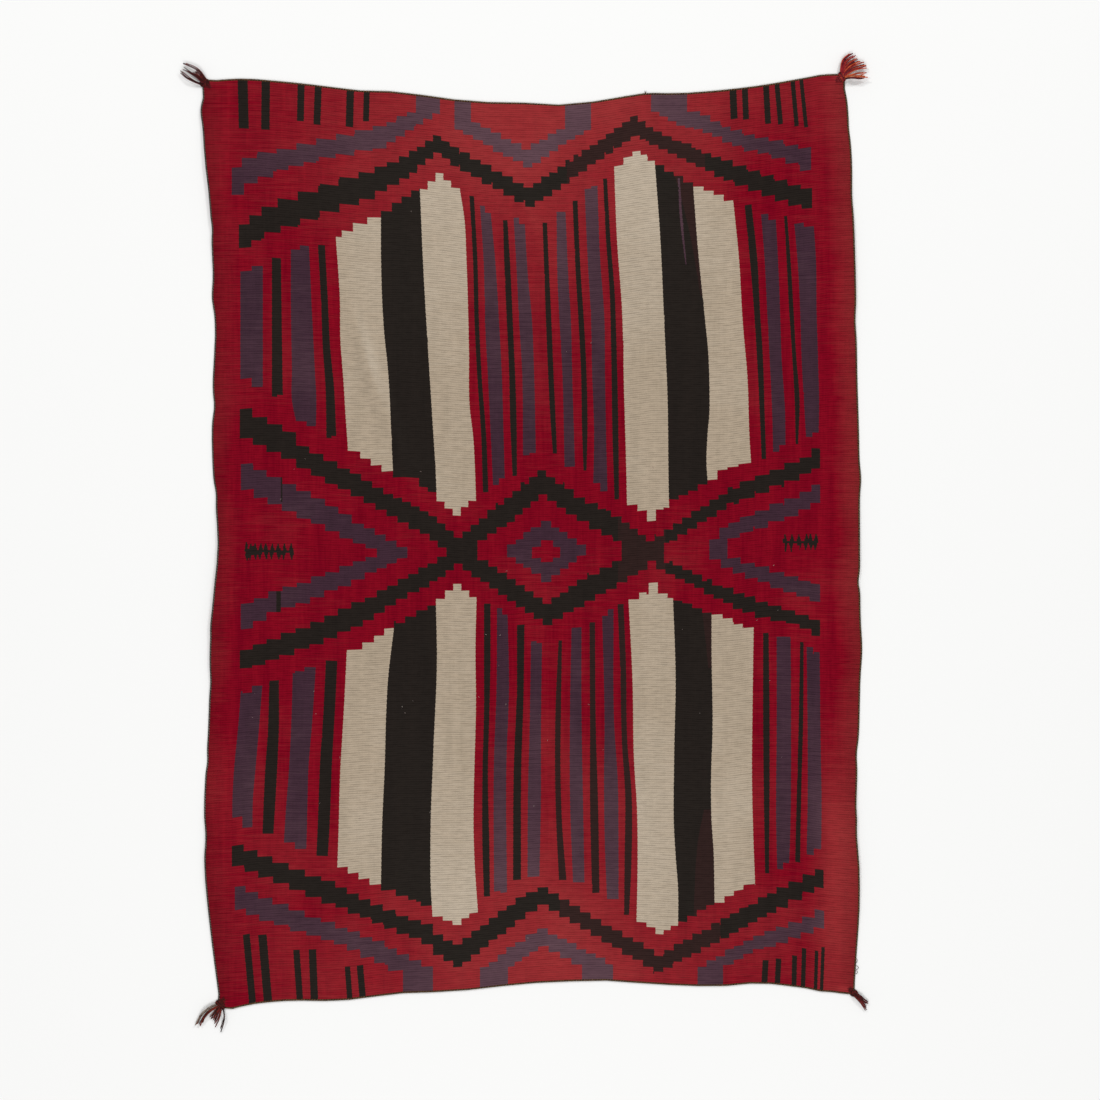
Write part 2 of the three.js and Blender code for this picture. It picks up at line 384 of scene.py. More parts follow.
@dataclass
class Row:
    """One rib of the cloth in chart terms."""

    xs: np.ndarray
    ys: np.ndarray

    def __post_init__(self) -> None:
        """Notes where the rib begins and ends, and its height half way."""
        self.start = float(self.xs[0])
        self.end = float(self.xs[-1])
        self.middle = self.height((self.start + self.end) / 2)

    def height(self, x: float) -> float:
        """The rib's chart y at a chart x."""
        return float(np.interp(x, self.xs, self.ys))


@dataclass(frozen=True)
class Motif:
    """One patch of colour: between two drifting sides, and from an upper to a lower stepped edge."""

    yarn: Yarn
    left: Drift
    right: Drift
    upper: Stair
    lower: Stair

    def spans(self, row: Row) -> list[tuple[float, float]]:
        """Where this patch lies along one rib.

        Args:
            row: The rib, which knows its chart height at each x.

        Returns:
            Stretches of chart x, from left to right.
        """
        start = self._meet(self.left, row)
        end = self._meet(self.right, row)
        cuts = [start, end]
        for stair in (self.upper, self.lower):
            cuts += [x for x in stair.steps[0] if start < x < end]
        cuts.sort()
        found = []
        for x0, x1 in zip(cuts, cuts[1:]):
            middle = (x0 + x1) / 2
            if self.upper.at(middle) <= row.height(middle) <= self.lower.at(middle):
                found.append((x0, x1))
        return found

    @staticmethod
    def _meet(side: Drift, row: Row) -> float:
        """Where a side crosses a rib that isn't quite level, found in three passes.

        Args:
            side: The patch's left or right side.
            row: The rib.

        Returns:
            The chart x.
        """
        x = side.at(row.middle)
        for _ in range(2):
            x = side.at(row.height(x))
        return x


def upright(x: float) -> Drift:
    """A side that doesn't drift."""
    return Drift(((0.0, x), (2200.0, x)))


def band(yarn: Yarn, x0: float, x1: float, upper: Stair, lower: Stair) -> Motif:
    """A zigzag or wedge between two upright ends."""
    return Motif(yarn, upright(x0), upright(x1), upper, lower)


def block(yarn: Yarn, x0: float, x1: float, y0: float, y1: float) -> Motif:
    """A plain rectangle."""
    return band(yarn, x0, x1, level(y0), level(y1))


def cut_end(pair: tuple[float, float], station: tuple[float, float, float]) -> Stair:
    """The end of a stripe whose two halves may stop at different heights.

    Args:
        pair: Where the left and the right half stop.
        station: The stripe's nearest (y, left x, right x).

    Returns:
        The end as an edge of one step.
    """
    _, left, right = station
    quarter = (right - left) / 4
    return Stair(((left + quarter, pair[0], 0), (right - quarter, pair[1], 1)))


def stripe(
    yarn: Yarn,
    stations: tuple[tuple[float, float, float], ...],
    top: tuple[float, float],
    bottom: tuple[float, float],
) -> Motif:
    """A narrow stripe.

    Args:
        yarn: Its wool.
        stations: (y, left x, right x) down the stripe.
        top: Where the left and the right half begin.
        bottom: Where the left and the right half end.

    Returns:
        The stripe.
    """
    left = Drift(tuple((y, a) for y, a, _ in stations))
    right = Drift(tuple((y, b) for y, _, b in stations))
    return Motif(yarn, left, right, cut_end(top, stations[0]), cut_end(bottom, stations[-1]))


@dataclass(frozen=True)
class BroadBands:
    """The tall cream stripes and the black fields between them, in the upper and the lower half."""

    cream_1_left: Drift = Drift(((476, 672), (600, 680), (680, 681), (760, 687), (840, 692), (896, 696)))
    cream_1_right: Drift = Drift(((434, 762), (500, 762), (660, 768), (740, 776), (900, 784), (942, 786)))
    cream_2_left: Drift = Drift(((380, 840), (540, 847), (680, 855), (840, 865), (980, 873), (1030, 874)))
    cream_2_right: Drift = Drift(
        ((380, 920), (440, 929), (520, 933), (700, 938), (820, 940), (870, 946), (940, 950), (1000, 952))
    )
    cream_3_left: Drift = Drift(
        ((330, 1228), (480, 1234), (620, 1244), (780, 1248), (960, 1253), (1010, 1254))
    )
    cream_3_right: Drift = Drift(
        ((320, 1309), (470, 1320), (640, 1328), (800, 1335), (960, 1337), (1014, 1338))
    )
    cream_4_left: Drift = Drift(
        (
            (370, 1386), (500, 1396), (640, 1410), (700, 1416), (790, 1419), (820, 1419), (870, 1415),
            (930, 1413), (960, 1415)
        )
    )
    cream_4_right: Drift = Drift(
        ((400, 1466), (520, 1478), (640, 1485), (760, 1495), (880, 1499), (926, 1502))
    )
    cream_5_left: Drift = Drift(((1300, 694), (1420, 688), (1560, 680), (1640, 678), (1732, 675)))
    cream_5_right: Drift = Drift(
        ((1256, 788), (1360, 776), (1440, 772), (1520, 770), (1660, 764), (1768, 762))
    )
    cream_6_left: Drift = Drift(
        ((1210, 872), (1310, 874), (1500, 867), (1680, 861), (1780, 862), (1830, 865))
    )
    cream_6_right: Drift = Drift(
        ((1200, 953), (1300, 951), (1400, 952), (1570, 948), (1640, 947), (1720, 949), (1824, 956))
    )
    cream_7_left: Drift = Drift(
        ((1200, 1257), (1360, 1265), (1520, 1268), (1620, 1274), (1740, 1275), (1840, 1273))
    )
    cream_7_right: Drift = Drift(
        ((1200, 1346), (1350, 1351), (1520, 1348), (1660, 1348), (1710, 1351), (1780, 1356), (1852, 1356))
    )
    cream_8_left: Drift = Drift(
        ((1230, 1423), (1300, 1423), (1460, 1425), (1560, 1422), (1640, 1423), (1700, 1427), (1800, 1429))
    )
    cream_8_right: Drift = Drift(((1260, 1507), (1400, 1505), (1580, 1504), (1660, 1506), (1768, 1510)))

    def motifs(self) -> list[Motif]:
        """The upper and the lower set.

        Returns:
            The black fields with their umber parts on top, then the cream stripes.
        """
        black_1_upper = Stair(((774, 422, 0), (832, 380, 3)))
        black_2_upper = Stair(((1319, 332, 0), (1376, 364, 3)))
        black_2_lower = Stair(((1348, 1000, 0), (1405, 970, 3)))
        black_4_upper = Stair(((1355, 1200, 0), (1414, 1225, 3)))
        black_4_lower = Stair(((1365, 1844, 0), (1422, 1810, 3)))
        umber_left = Drift(((320, 1340), (360, 1352), (480, 1382), (580, 1399), (640, 1410)))
        seam_left = Drift(((350, 1355), (440, 1360), (530, 1371)))
        seam_right = Drift(((350, 1359), (440, 1365), (530, 1373)))
        return [
            Motif(
                Yarn.BLACK, self.cream_1_right, self.cream_2_left, black_1_upper,
                Stair(((829, 956, 0), (847, 972, 1), (864, 986, 1)))
            ),
            Motif(Yarn.BLACK, self.cream_3_right, self.cream_4_left, black_2_upper, black_2_lower),
            Motif(Yarn.UMBER, umber_left, self.cream_4_left, black_2_upper, level(590)),
            Motif(Yarn.PURPLE, seam_left, seam_right, level(358), level(530)),
            Motif(
                Yarn.BLACK, self.cream_5_right, self.cream_6_left, Stair(((799, 1244, 0), (866, 1210, 3))),
                Stair(((779, 1780, 0), (854, 1812, 3)))
            ),
            Motif(Yarn.BLACK, self.cream_7_right, self.cream_8_left, black_4_upper, black_4_lower),
            Motif(
                Yarn.UMBER, Drift(((1200, 1402), (1330, 1416))), self.cream_8_left, black_4_upper,
                level(1336)
            ),
            Motif(
                Yarn.UMBER, Drift(((1600, 1412), (1680, 1396), (1800, 1388))), self.cream_8_left,
                level(1620), black_4_lower
            ),
            self.cream(
                "cream_1", Stair(((676, 476, 0), (692, 464, 1), (749, 434, 2))),
                Stair(((710, 904, 0), (774, 943, 3)))
            ),
            self.cream(
                "cream_2", Stair(((848, 377, 0), (879, 346, 2), (910, 377, 2))),
                Stair(((881, 1001, 0), (914, 1031, 2), (944, 1001, 2)))
            ),
            self.cream(
                "cream_3",
                Stair(((1238, 330, 0), (1274, 302, 2), (1302, 321, 2))),
                Stair(((1265, 1009, 0), (1285, 1020, 1), (1303, 1042, 1), (1320, 1020, 1), (1334, 1014, 1))),
            ),
            self.cream(
                "cream_4", Stair(((1397, 372, 0), (1457, 401, 3))),
                Stair(((1425, 958, 0), (1444, 941, 1), (1487, 929, 2)))
            ),
            self.cream(
                "cream_5", Stair(((712, 1300, 0), (738, 1285, 1), (779, 1256, 2))),
                Stair(((685, 1733, 0), (750, 1769, 3)))
            ),
            self.cream(
                "cream_6", Stair(((882, 1196, 0), (915, 1168, 2), (946, 1196, 2))),
                Stair(((876, 1831, 0), (915, 1851, 2), (946, 1824, 2)))
            ),
            self.cream(
                "cream_7",
                Stair(((1268, 1199, 0), (1289, 1187, 1), (1306, 1164, 1), (1325, 1188, 1), (1345, 1194, 1))),
                Stair(((1284, 1843, 0), (1320, 1868, 2), (1348, 1852, 2))),
            ),
            self.cream(
                "cream_8", Stair(((1435, 1230, 0), (1495, 1255, 3))),
                Stair(((1439, 1804, 0), (1496, 1768, 3)))
            ),
        ]

    def cream(self, name: str, upper: Stair, lower: Stair) -> Motif:
        """One cream stripe between its own two sides."""
        return Motif(Yarn.CREAM, getattr(self, name + "_left"), getattr(self, name + "_right"), upper, lower)


@dataclass(frozen=True)
class Zigzags:
    """The black and purple zigzags across the top, the middle and the bottom."""

    def motifs(self) -> list[Motif]:
        """All zigzags, with the red that lies inside them painted over the black.

        Returns:
            The motifs, each over the one before.
        """
        return self.top() + self.middle() + self.bottom()

    @staticmethod
    def top() -> list[Motif]:
        """Black zigzag with two peaks, and the purple one above it that runs off the edge.

        Returns:
            The motifs, each over the one before.
        """
        upper = Stair(
            (
                (487, 450, 0), (535, 413, 2), (697, 357, 4), (737, 345, 1), (810, 314, 3), (874, 271, 4),
                (908, 295, 2)
            )
            + ((1058, 377, 7), (1268, 234, 13), (1314, 264, 3), (1452, 322, 7), (1615, 378, 6))
        )
        lower = Stair(
            ((490, 495, 0), (542, 464, 2), (738, 398, 5), (811, 357, 3), (875, 307, 4), (909, 331, 2))
            + ((1061, 415, 7), (1270, 271, 12), (1456, 362, 10), (1616, 419, 6))
        )
        return [
            band(Yarn.BLACK, 478, 1624, upper, lower),
            band(Yarn.UMBER, 1134, 1410, upper, lower),
            band(
                Yarn.PURPLE,
                464,
                880,
                Stair(
                    ((474, 335, 0), (494, 315, 1), (692, 270, 5), (763, 252, 2), (824, 226, 3), (840, 0, 1))
                ),
                Stair(
                    (
                        (477, 388, 0), (500, 368, 1), (562, 341, 2), (653, 316, 3), (764, 297, 3),
                        (874, 228, 6)
                    ),
                ),
            ),
            band(Yarn.PURPLE, 909, 1182, TOP_END, Stair(((916, 261, 0), (1056, 335, 7), (1176, 259, 7)))),
            band(Yarn.RED, 942, 1130, TOP_END, Stair(((951, 244, 0), (1053, 298, 5), (1121, 260, 4)))),
            band(
                Yarn.PURPLE,
                1302,
                1622,
                Stair(((1358, 0, 0), (1390, 223, 1), (1471, 262, 4), (1522, 276, 2), (1611, 297, 3))),
                Stair(
                    (
                        (1310, 223, 0), (1361, 250, 3), (1414, 264, 3), (1474, 294, 3), (1556, 316, 3),
                        (1614, 340, 2)
                    ),
                ),
            ),
        ]

    @staticmethod
    def middle() -> list[Motif]:
        """Two black bands that cross twice, with red wedges, a red diamond and purple shapes inside.

        Returns:
            The motifs, each over the one before.
        """
        roof = Stair(
            (
                (490, 817, 0), (580, 863, 3), (605, 894, 1), (689, 936, 3), (778, 987, 4), (866, 1032, 5),
                (916, 1076, 3)
            )
            + (
                (1083, 939, 10), (1157, 994, 4), (1235, 1033, 3), (1300, 1082, 4), (1464, 976, 9),
                (1613, 914, 5), (1632, 897, 1)
            )
        )
        floor = Stair(
            (
                (492, 1335, 0), (544, 1321, 2), (634, 1288, 3), (715, 1253, 3), (803, 1197, 4),
                (851, 1176, 2), (916, 1129, 4)
            )
            + (
                (1094, 1249, 10), (1287, 1141, 9), (1303, 1120, 1), (1321, 1139, 1), (1494, 1226, 9),
                (1587, 1247, 3), (1634, 1272, 2)
            )
        )
        left_upper = Stair(
            ((492, 877, 0), (547, 903, 2), (637, 952, 3), (740, 1008, 4), (850, 1069, 5), (883, 1093, 2))
        )
        left_lower = Stair(
            ((492, 1302, 0), (547, 1278, 2), (635, 1244, 3), (743, 1193, 4), (827, 1147, 4), (883, 1114, 3))
        )
        diamond_upper = Stair(
            (
                (965, 1081, 0), (1022, 1044, 3), (1085, 989, 4), (1141, 1030, 3), (1215, 1072, 3),
                (1237, 1082, 1)
            ),
        )
        diamond_lower = Stair(((968, 1122, 0), (1094, 1209, 7), (1162, 1159, 4), (1236, 1124, 3)))
        right_upper = Stair(
            ((1332, 1087, 0), (1345, 1080, 1), (1463, 1008, 6), (1613, 949, 5), (1632, 937, 1))
        )
        right_lower = Stair(((1335, 1124, 0), (1434, 1169, 5), (1522, 1203, 4), (1631, 1238, 4)))
        return [
            band(Yarn.BLACK, 480, 1640, roof, floor),
            band(Yarn.UMBER, 1236, 1330, roof, floor),
            band(Yarn.RED, 470, 893, left_upper, left_lower),
            band(Yarn.RED, 955, 1243, diamond_upper, diamond_lower),
            band(Yarn.RED, 1328, 1660, right_upper, right_lower),
            band(
                Yarn.PURPLE,
                482,
                815,
                Stair(((494, 929, 0), (546, 954, 2), (637, 998, 3), (717, 1046, 3), (804, 1094, 4))),
                Stair(((493, 1256, 0), (546, 1226, 2), (635, 1194, 3), (743, 1147, 4), (804, 1115, 3))),
            ),
            band(
                Yarn.RED,
                470,
                754,
                Stair(((494, 981, 0), (549, 1009, 2), (608, 1036, 2), (693, 1075, 3), (744, 1097, 2))),
                Stair(((494, 1209, 0), (551, 1182, 2), (608, 1166, 2), (693, 1132, 3), (744, 1114, 2))),
            ),
            block(Yarn.BLACK, 560, 564.6, 953, 1005),
            block(Yarn.BLACK, 553, 562, 1182, 1225),
            band(
                Yarn.PURPLE,
                1014,
                1172,
                Stair(((1022, 1090, 0), (1069, 1053, 3), (1094, 1041, 1), (1143, 1078, 3), (1162, 1090, 1))),
                Stair(((1022, 1116, 0), (1071, 1148, 3), (1093, 1166, 1), (1112, 1149, 1), (1162, 1113, 3))),
            ),
            block(Yarn.RED, 1082, 1106, 1082, 1122),
            block(Yarn.RED, 1064, 1120, 1093, 1113),
            band(
                Yarn.PURPLE,
                1418,
                1640,
                Stair(
                    (
                        (1429, 1079, 0), (1448, 1056, 1), (1465, 1046, 1), (1552, 1009, 3), (1613, 983, 2),
                        (1632, 970, 1)
                    ),
                ),
                Stair(((1431, 1118, 0), (1452, 1137, 1), (1553, 1175, 4), (1632, 1201, 3))),
            ),
            band(
                Yarn.RED,
                1454,
                1660,
                Stair(((1465, 1076, 0), (1520, 1054, 2), (1584, 1031, 2), (1632, 1007, 2))),
                Stair(((1467, 1116, 0), (1523, 1134, 2), (1611, 1162, 3), (1630, 1170, 1))),
            ),
        ]

    @staticmethod
    def bottom() -> list[Motif]:
        """Black zigzag with two tips, and the purple one below it that runs off the edge.

        Returns:
            The motifs, each over the one before.
        """
        upper = Stair(
            (
                (474, 1690, 0), (529, 1713, 2), (659, 1763, 4), (753, 1810, 4), (855, 1849, 4),
                (877, 1869, 1), (915, 1890, 2)
            )
            + (
                (1040, 1795, 7), (1086, 1775, 2), (1319, 1910, 11), (1562, 1775, 13), (1619, 1750, 2),
                (1640, 1737, 1)
            )
        )
        lower = Stair(
            (
                (476, 1733, 0), (530, 1754, 2), (659, 1805, 4), (756, 1847, 4), (855, 1887, 4),
                (877, 1908, 1), (916, 1935, 2)
            )
            + (
                (1039, 1839, 7), (1087, 1810, 2), (1317, 1945, 11), (1562, 1814, 13), (1618, 1786, 2),
                (1639, 1774, 1)
            )
        )
        return [
            band(Yarn.BLACK, 464, 1647, upper, lower),
            band(Yarn.UMBER, 1120, 1440, upper, lower),
            band(
                Yarn.PURPLE,
                470,
                866,
                Stair(((479, 1774, 0), (529, 1798, 2), (658, 1845, 4), (757, 1883, 4), (855, 1933, 4))),
                Stair(
                    (
                        (479, 1819, 0), (532, 1842, 2), (629, 1870, 3), (707, 1900, 3), (790, 1941, 3),
                        (822, 2200, 1)
                    ),
                ),
            ),
            band(
                Yarn.PURPLE, 960, 1226,
                Stair(((969, 1935, 0), (1039, 1882, 4), (1086, 1857, 2), (1220, 1927, 7))), BOTTOM_END
            ),
            band(
                Yarn.RED, 1016, 1164,
                Stair(((1022, 1933, 0), (1066, 1901, 3), (1086, 1892, 1), (1154, 1929, 3))), BOTTOM_END
            ),
            band(
                Yarn.PURPLE,
                1395,
                1648,
                Stair(((1404, 1932, 0), (1495, 1879, 5), (1562, 1854, 3), (1618, 1834, 2), (1640, 1818, 1))),
                Stair(((1434, 2200, 0), (1458, 1929, 1), (1515, 1899, 3), (1588, 1876, 3), (1640, 1855, 2))),
            ),
        ]


@dataclass(frozen=True)
class NarrowStripes:
    """The narrow stripes beside and between the broad ones. Each is (y, left, right) down its length."""

    def motifs(self) -> list[Motif]:
        """Every narrow stripe of the upper and the lower half.

        Returns:
            The motifs, each over the one before.
        """
        upper = self.upper_left() + self.upper_middle() + self.upper_right()
        return upper + self.lower_left() + self.lower_middle() + self.lower_right()

    @staticmethod
    def upper_left() -> list[Motif]:
        """Two purple and two black stripes beside the left margin.

        Returns:
            The motifs, each over the one before.
        """
        purple, black = Yarn.PURPLE, Yarn.BLACK
        return [
            stripe(purple, ((530, 481, 526), (772, 481, 526)), (544, 530), (756, 772)),
            stripe(black, ((516, 544, 562), (792, 544, 566)), (516, 516), (792, 792)),
            stripe(
                purple,
                ((490, 582, 618), (620, 582, 624), (740, 584, 630), (800, 584, 633), (854, 595, 632)),
                (500, 490), (842, 854)
            ),
            stripe(
                black,
                ((490, 636, 650), (600, 642, 656), (700, 646, 661), (770, 651, 668), (874, 653, 673)),
                (490, 490), (874, 874)
            ),
        ]

    @staticmethod
    def lower_left() -> list[Motif]:
        """The same four in the lower half, drawn outwards by the margin.

        Returns:
            The motifs, each over the one before.
        """
        purple, black = Yarn.PURPLE, Yarn.BLACK
        return [
            stripe(
                purple,
                ((1370, 483, 525), (1460, 476, 518), (1530, 469, 512), (1600, 465, 506), (1656, 465, 505)),
                (1384, 1370), (1636, 1656)
            ),
            stripe(
                black, ((1360, 539, 558), (1460, 536, 558), (1550, 530, 554), (1669, 525, 547)),
                (1360, 1360), (1669, 1669)
            ),
            stripe(
                purple,
                ((1332, 586, 632), (1440, 583, 625), (1540, 578, 617), (1620, 572, 615), (1698, 567, 613)),
                (1344, 1332), (1684, 1698)
            ),
            stripe(
                black,
                ((1320, 652, 675), (1424, 647, 670), (1530, 640, 664), (1640, 636, 660), (1712, 633, 656)),
                (1320, 1320), (1712, 1712)
            ),
        ]

    @staticmethod
    def upper_middle() -> list[Motif]:
        """Five black and four purple stripes between the two pairs of broad ones.

        Returns:
            The motifs, each over the one before.
        """
        purple, black = Yarn.PURPLE, Yarn.BLACK
        return [
            stripe(
                black,
                (
                    (393, 939, 948), (520, 946, 955), (640, 949, 958), (760, 955, 964), (864, 962, 972),
                    (986, 966, 977)
                ),
                (393, 393),
                (986, 986),
            ),
            stripe(
                purple,
                (
                    (410, 960, 980), (540, 968, 992), (640, 970, 998), (756, 976, 1004), (860, 981, 1007),
                    (968, 986, 1010)
                ),
                (410, 424),
                (968, 956),
            ),
            stripe(
                black,
                (
                    (442, 1006, 1015), (540, 1009, 1021), (650, 1014, 1026), (740, 1018, 1030),
                    (830, 1020, 1033), (950, 1025, 1034)
                ),
                (442, 442),
                (950, 950),
            ),
            stripe(
                purple,
                (
                    (434, 1027, 1049), (554, 1034, 1056), (640, 1038, 1064), (736, 1044, 1068),
                    (912, 1046, 1072)
                ),
                (434, 448),
                (912, 908),
            ),
            stripe(
                black,
                (
                    (444, 1085, 1094), (560, 1089, 1099), (644, 1092, 1103), (744, 1096, 1107),
                    (856, 1102, 1112), (908, 1106, 1114)
                ),
                (444, 444),
                (908, 908),
            ),
            stripe(
                purple,
                (
                    (422, 1113, 1131), (560, 1115, 1137), (644, 1119, 1142), (730, 1124, 1144),
                    (932, 1129, 1150)
                ),
                (422, 422),
                (932, 932),
            ),
            stripe(
                black,
                (
                    (400, 1145, 1155), (540, 1151, 1161), (644, 1157, 1168), (744, 1162, 1173),
                    (860, 1164, 1175), (940, 1167, 1173)
                ),
                (400, 400),
                (940, 940),
            ),
            stripe(
                purple,
                (
                    (376, 1169, 1195), (514, 1175, 1200), (640, 1182, 1209), (740, 1184, 1210),
                    (860, 1188, 1212), (983, 1186, 1215)
                ),
                (379, 374),
                (966, 983),
            ),
            stripe(
                black,
                (
                    (356, 1206, 1214), (480, 1212, 1221), (580, 1219, 1229), (690, 1222, 1233),
                    (880, 1225, 1237), (1000, 1229, 1238)
                ),
                (356, 356),
                (1000, 1000),
            ),
        ]

    @staticmethod
    def lower_middle() -> list[Motif]:
        """The same nine in the lower half.

        Returns:
            The motifs, each over the one before.
        """
        purple, black, umber = Yarn.PURPLE, Yarn.BLACK, Yarn.UMBER
        return [
            stripe(
                black,
                (
                    (1208, 968, 981), (1320, 968, 981), (1420, 968, 979), (1540, 965, 976),
                    (1700, 965, 979), (1794, 968, 980)
                ),
                (1208, 1208),
                (1794, 1794),
            ),
            stripe(
                purple, ((1216, 994, 1015), (1380, 993, 1018), (1520, 988, 1013), (1784, 988, 1014)),
                (1216, 1228), (1784, 1784)
            ),
            stripe(
                black, ((1250, 1034, 1049), (1400, 1033, 1047), (1520, 1028, 1043), (1760, 1026, 1042)),
                (1250, 1250), (1760, 1760)
            ),
            stripe(
                purple, ((1284, 1062, 1084), (1470, 1059, 1082), (1580, 1056, 1082), (1752, 1055, 1079)),
                (1284, 1284), (1752, 1752)
            ),
            stripe(
                umber,
                (
                    (1282, 1117, 1124), (1420, 1111, 1122), (1540, 1110, 1121), (1660, 1113, 1125),
                    (1760, 1118, 1133)
                ),
                (1282, 1282),
                (1760, 1760),
            ),
            stripe(
                purple, ((1256, 1143, 1163), (1420, 1140, 1163), (1600, 1140, 1166), (1766, 1146, 1169)),
                (1256, 1256), (1766, 1766)
            ),
            stripe(
                umber, ((1244, 1179, 1190), (1470, 1180, 1192), (1600, 1180, 1196), (1786, 1184, 1199)),
                (1244, 1244), (1786, 1786)
            ),
            stripe(
                purple,
                (
                    (1220, 1204, 1227), (1460, 1209, 1229), (1550, 1208, 1235), (1700, 1210, 1237),
                    (1798, 1214, 1237)
                ),
                (1230, 1220),
                (1798, 1798),
            ),
            stripe(
                umber,
                (
                    (1208, 1235, 1247), (1330, 1240, 1252), (1490, 1244, 1255), (1584, 1250, 1263),
                    (1720, 1249, 1263), (1830, 1248, 1258)
                ),
                (1208, 1208),
                (1830, 1830),
            ),
        ]

    @staticmethod
    def upper_right() -> list[Motif]:
        """Two black and two purple stripes beside the right margin.

        Returns:
            The motifs, each over the one before.
        """
        purple, black = Yarn.PURPLE, Yarn.BLACK
        return [
            stripe(
                black,
                (
                    (411, 1489, 1503), (524, 1500, 1515), (624, 1508, 1520), (720, 1514, 1526),
                    (820, 1519, 1529), (916, 1523, 1532)
                ),
                (411, 411),
                (916, 916),
            ),
            stripe(
                purple,
                (
                    (430, 1522, 1551), (520, 1529, 1556), (620, 1534, 1560), (716, 1539, 1563),
                    (824, 1544, 1570), (904, 1546, 1571)
                ),
                (430, 440),
                (904, 890),
            ),
            stripe(
                black,
                (
                    (432, 1568, 1574), (520, 1573, 1581), (620, 1578, 1587), (710, 1584, 1592),
                    (800, 1589, 1599), (888, 1591, 1596)
                ),
                (432, 432),
                (888, 888),
            ),
            stripe(
                purple,
                (
                    (445, 1588, 1627), (524, 1595, 1632), (620, 1600, 1633), (720, 1603, 1636),
                    (810, 1608, 1638), (876, 1612, 1637)
                ),
                (445, 454),
                (876, 864),
            ),
        ]

    @staticmethod
    def lower_right() -> list[Motif]:
        """The same four in the lower half.

        Returns:
            The motifs, each over the one before.
        """
        purple, black = Yarn.PURPLE, Yarn.BLACK
        return [
            stripe(
                black, ((1264, 1526, 1537), (1440, 1526, 1539), (1560, 1527, 1539), (1746, 1530, 1538)),
                (1264, 1264), (1746, 1746)
            ),
            stripe(
                purple, ((1272, 1553, 1581), (1460, 1553, 1582), (1640, 1552, 1581), (1736, 1554, 1578)),
                (1272, 1272), (1736, 1724)
            ),
            stripe(
                black, ((1286, 1600, 1607), (1450, 1597, 1606), (1560, 1594, 1603), (1725, 1590, 1600)),
                (1286, 1286), (1725, 1725)
            ),
            stripe(
                purple, ((1296, 1613, 1639), (1480, 1615, 1641), (1600, 1615, 1643), (1710, 1613, 1642)),
                (1296, 1306), (1710, 1696)
            ),
        ]


@dataclass(frozen=True)
class EndBars:
    """Short black bars that run in from the top and the bottom edge, and the two rows of teeth."""

    def motifs(self) -> list[Motif]:
        """All bars and teeth.

        Returns:
            The bars, each noted below as its x at the edge and at the inner end, its width and its
            inner end's y, then the toothed rows.
        """
        top = (
            (485, 488, 20, 258), (532, 531, 17, 262), (603, 601, 14, 244), (638, 634, 14, 248),
            (702, 699, 15, 253), (735, 732, 12, 244)
        )
        top += (
            (1464, 1468, 14, 236), (1488, 1492, 12, 240), (1530, 1536, 12, 248), (1551, 1561, 10, 250),
            (1583, 1593, 9, 251), (1600, 1612, 8, 255)
        )
        foot = (
            (505, 493, 14, 1870), (536, 525, 17, 1869), (600, 593, 13, 1900), (629, 625, 15, 1898),
            (700, 695, 11, 1934), (726, 720, 13, 1931)
        )
        foot += (
            (1527, 1531, 12, 1920), (1553, 1557, 11, 1918), (1587, 1589, 10, 1912), (1605, 1608, 9, 1898),
            (1630, 1633, 7, 1902), (1642, 1646, 7, 1894)
        )
        bars = [self.bar(outer, inner, width, 140, y) for outer, inner, width, y in top]
        bars += [self.bar(inner, outer, width, y, 2000) for outer, inner, width, y in foot]
        left = (494, 501, 511, 521, 532, 544, 557, 568, 583)
        right = (1570, 1583, 1598, 1612, 1621, 1631)
        return bars + self.teeth(left, 1103, 17) + self.teeth(right, 1085, 17)

    @staticmethod
    def bar(x_top: float, x_foot: float, width: float, y_top: float, y_foot: float) -> Motif:
        """One leaning bar; an end that lies past the cloth is cut off by it.

        Args:
            x_top: Middle of its upper end.
            x_foot: Middle of its lower end.
            width: Its width.
            y_top: Height of its upper end.
            y_foot: Height of its lower end.

        Returns:
            The bar.
        """
        left = Drift(((y_top, x_top - width / 2), (y_foot, x_foot - width / 2)))
        right = Drift(((y_top, x_top + width / 2), (y_foot, x_foot + width / 2)))
        upper = level(y_top) if y_top > 1000 else TOP_END
        lower = level(y_foot) if y_foot < 1000 else BOTTOM_END
        return Motif(Yarn.BLACK, left, right, upper, lower)

    @staticmethod
    def teeth(centres: tuple[float, ...], middle: float, reach: float) -> list[Motif]:
        """A fine row of slender lozenges that share a dark middle line.

        Args:
            centres: Middle of each lozenge.
            middle: Height of the middle line.
            reach: Half a lozenge's length.

        Returns:
            The line and the blocks of every lozenge.
        """
        made = [
            block(Yarn.BLACK, centres[0] - 3, centres[-1] + 4, middle - 0.25 * reach, middle + 0.22 * reach)
        ]
        for k, x in enumerate(centres):
            for width, share in ((8.6, 0.42), (5.6, 0.72), (3.0, 1.0)):
                lean = 0.9 if k % 2 else -0.6
                made.append(
                    block(
                        Yarn.BLACK, x + lean - width / 2, x + lean + width / 2, middle - share * reach,
                        middle
                    ),
                )
                made.append(
                    block(
                        Yarn.BLACK, x - lean - width / 2, x - lean + width / 2, middle,
                        middle + share * reach
                    ),
                )
        return made


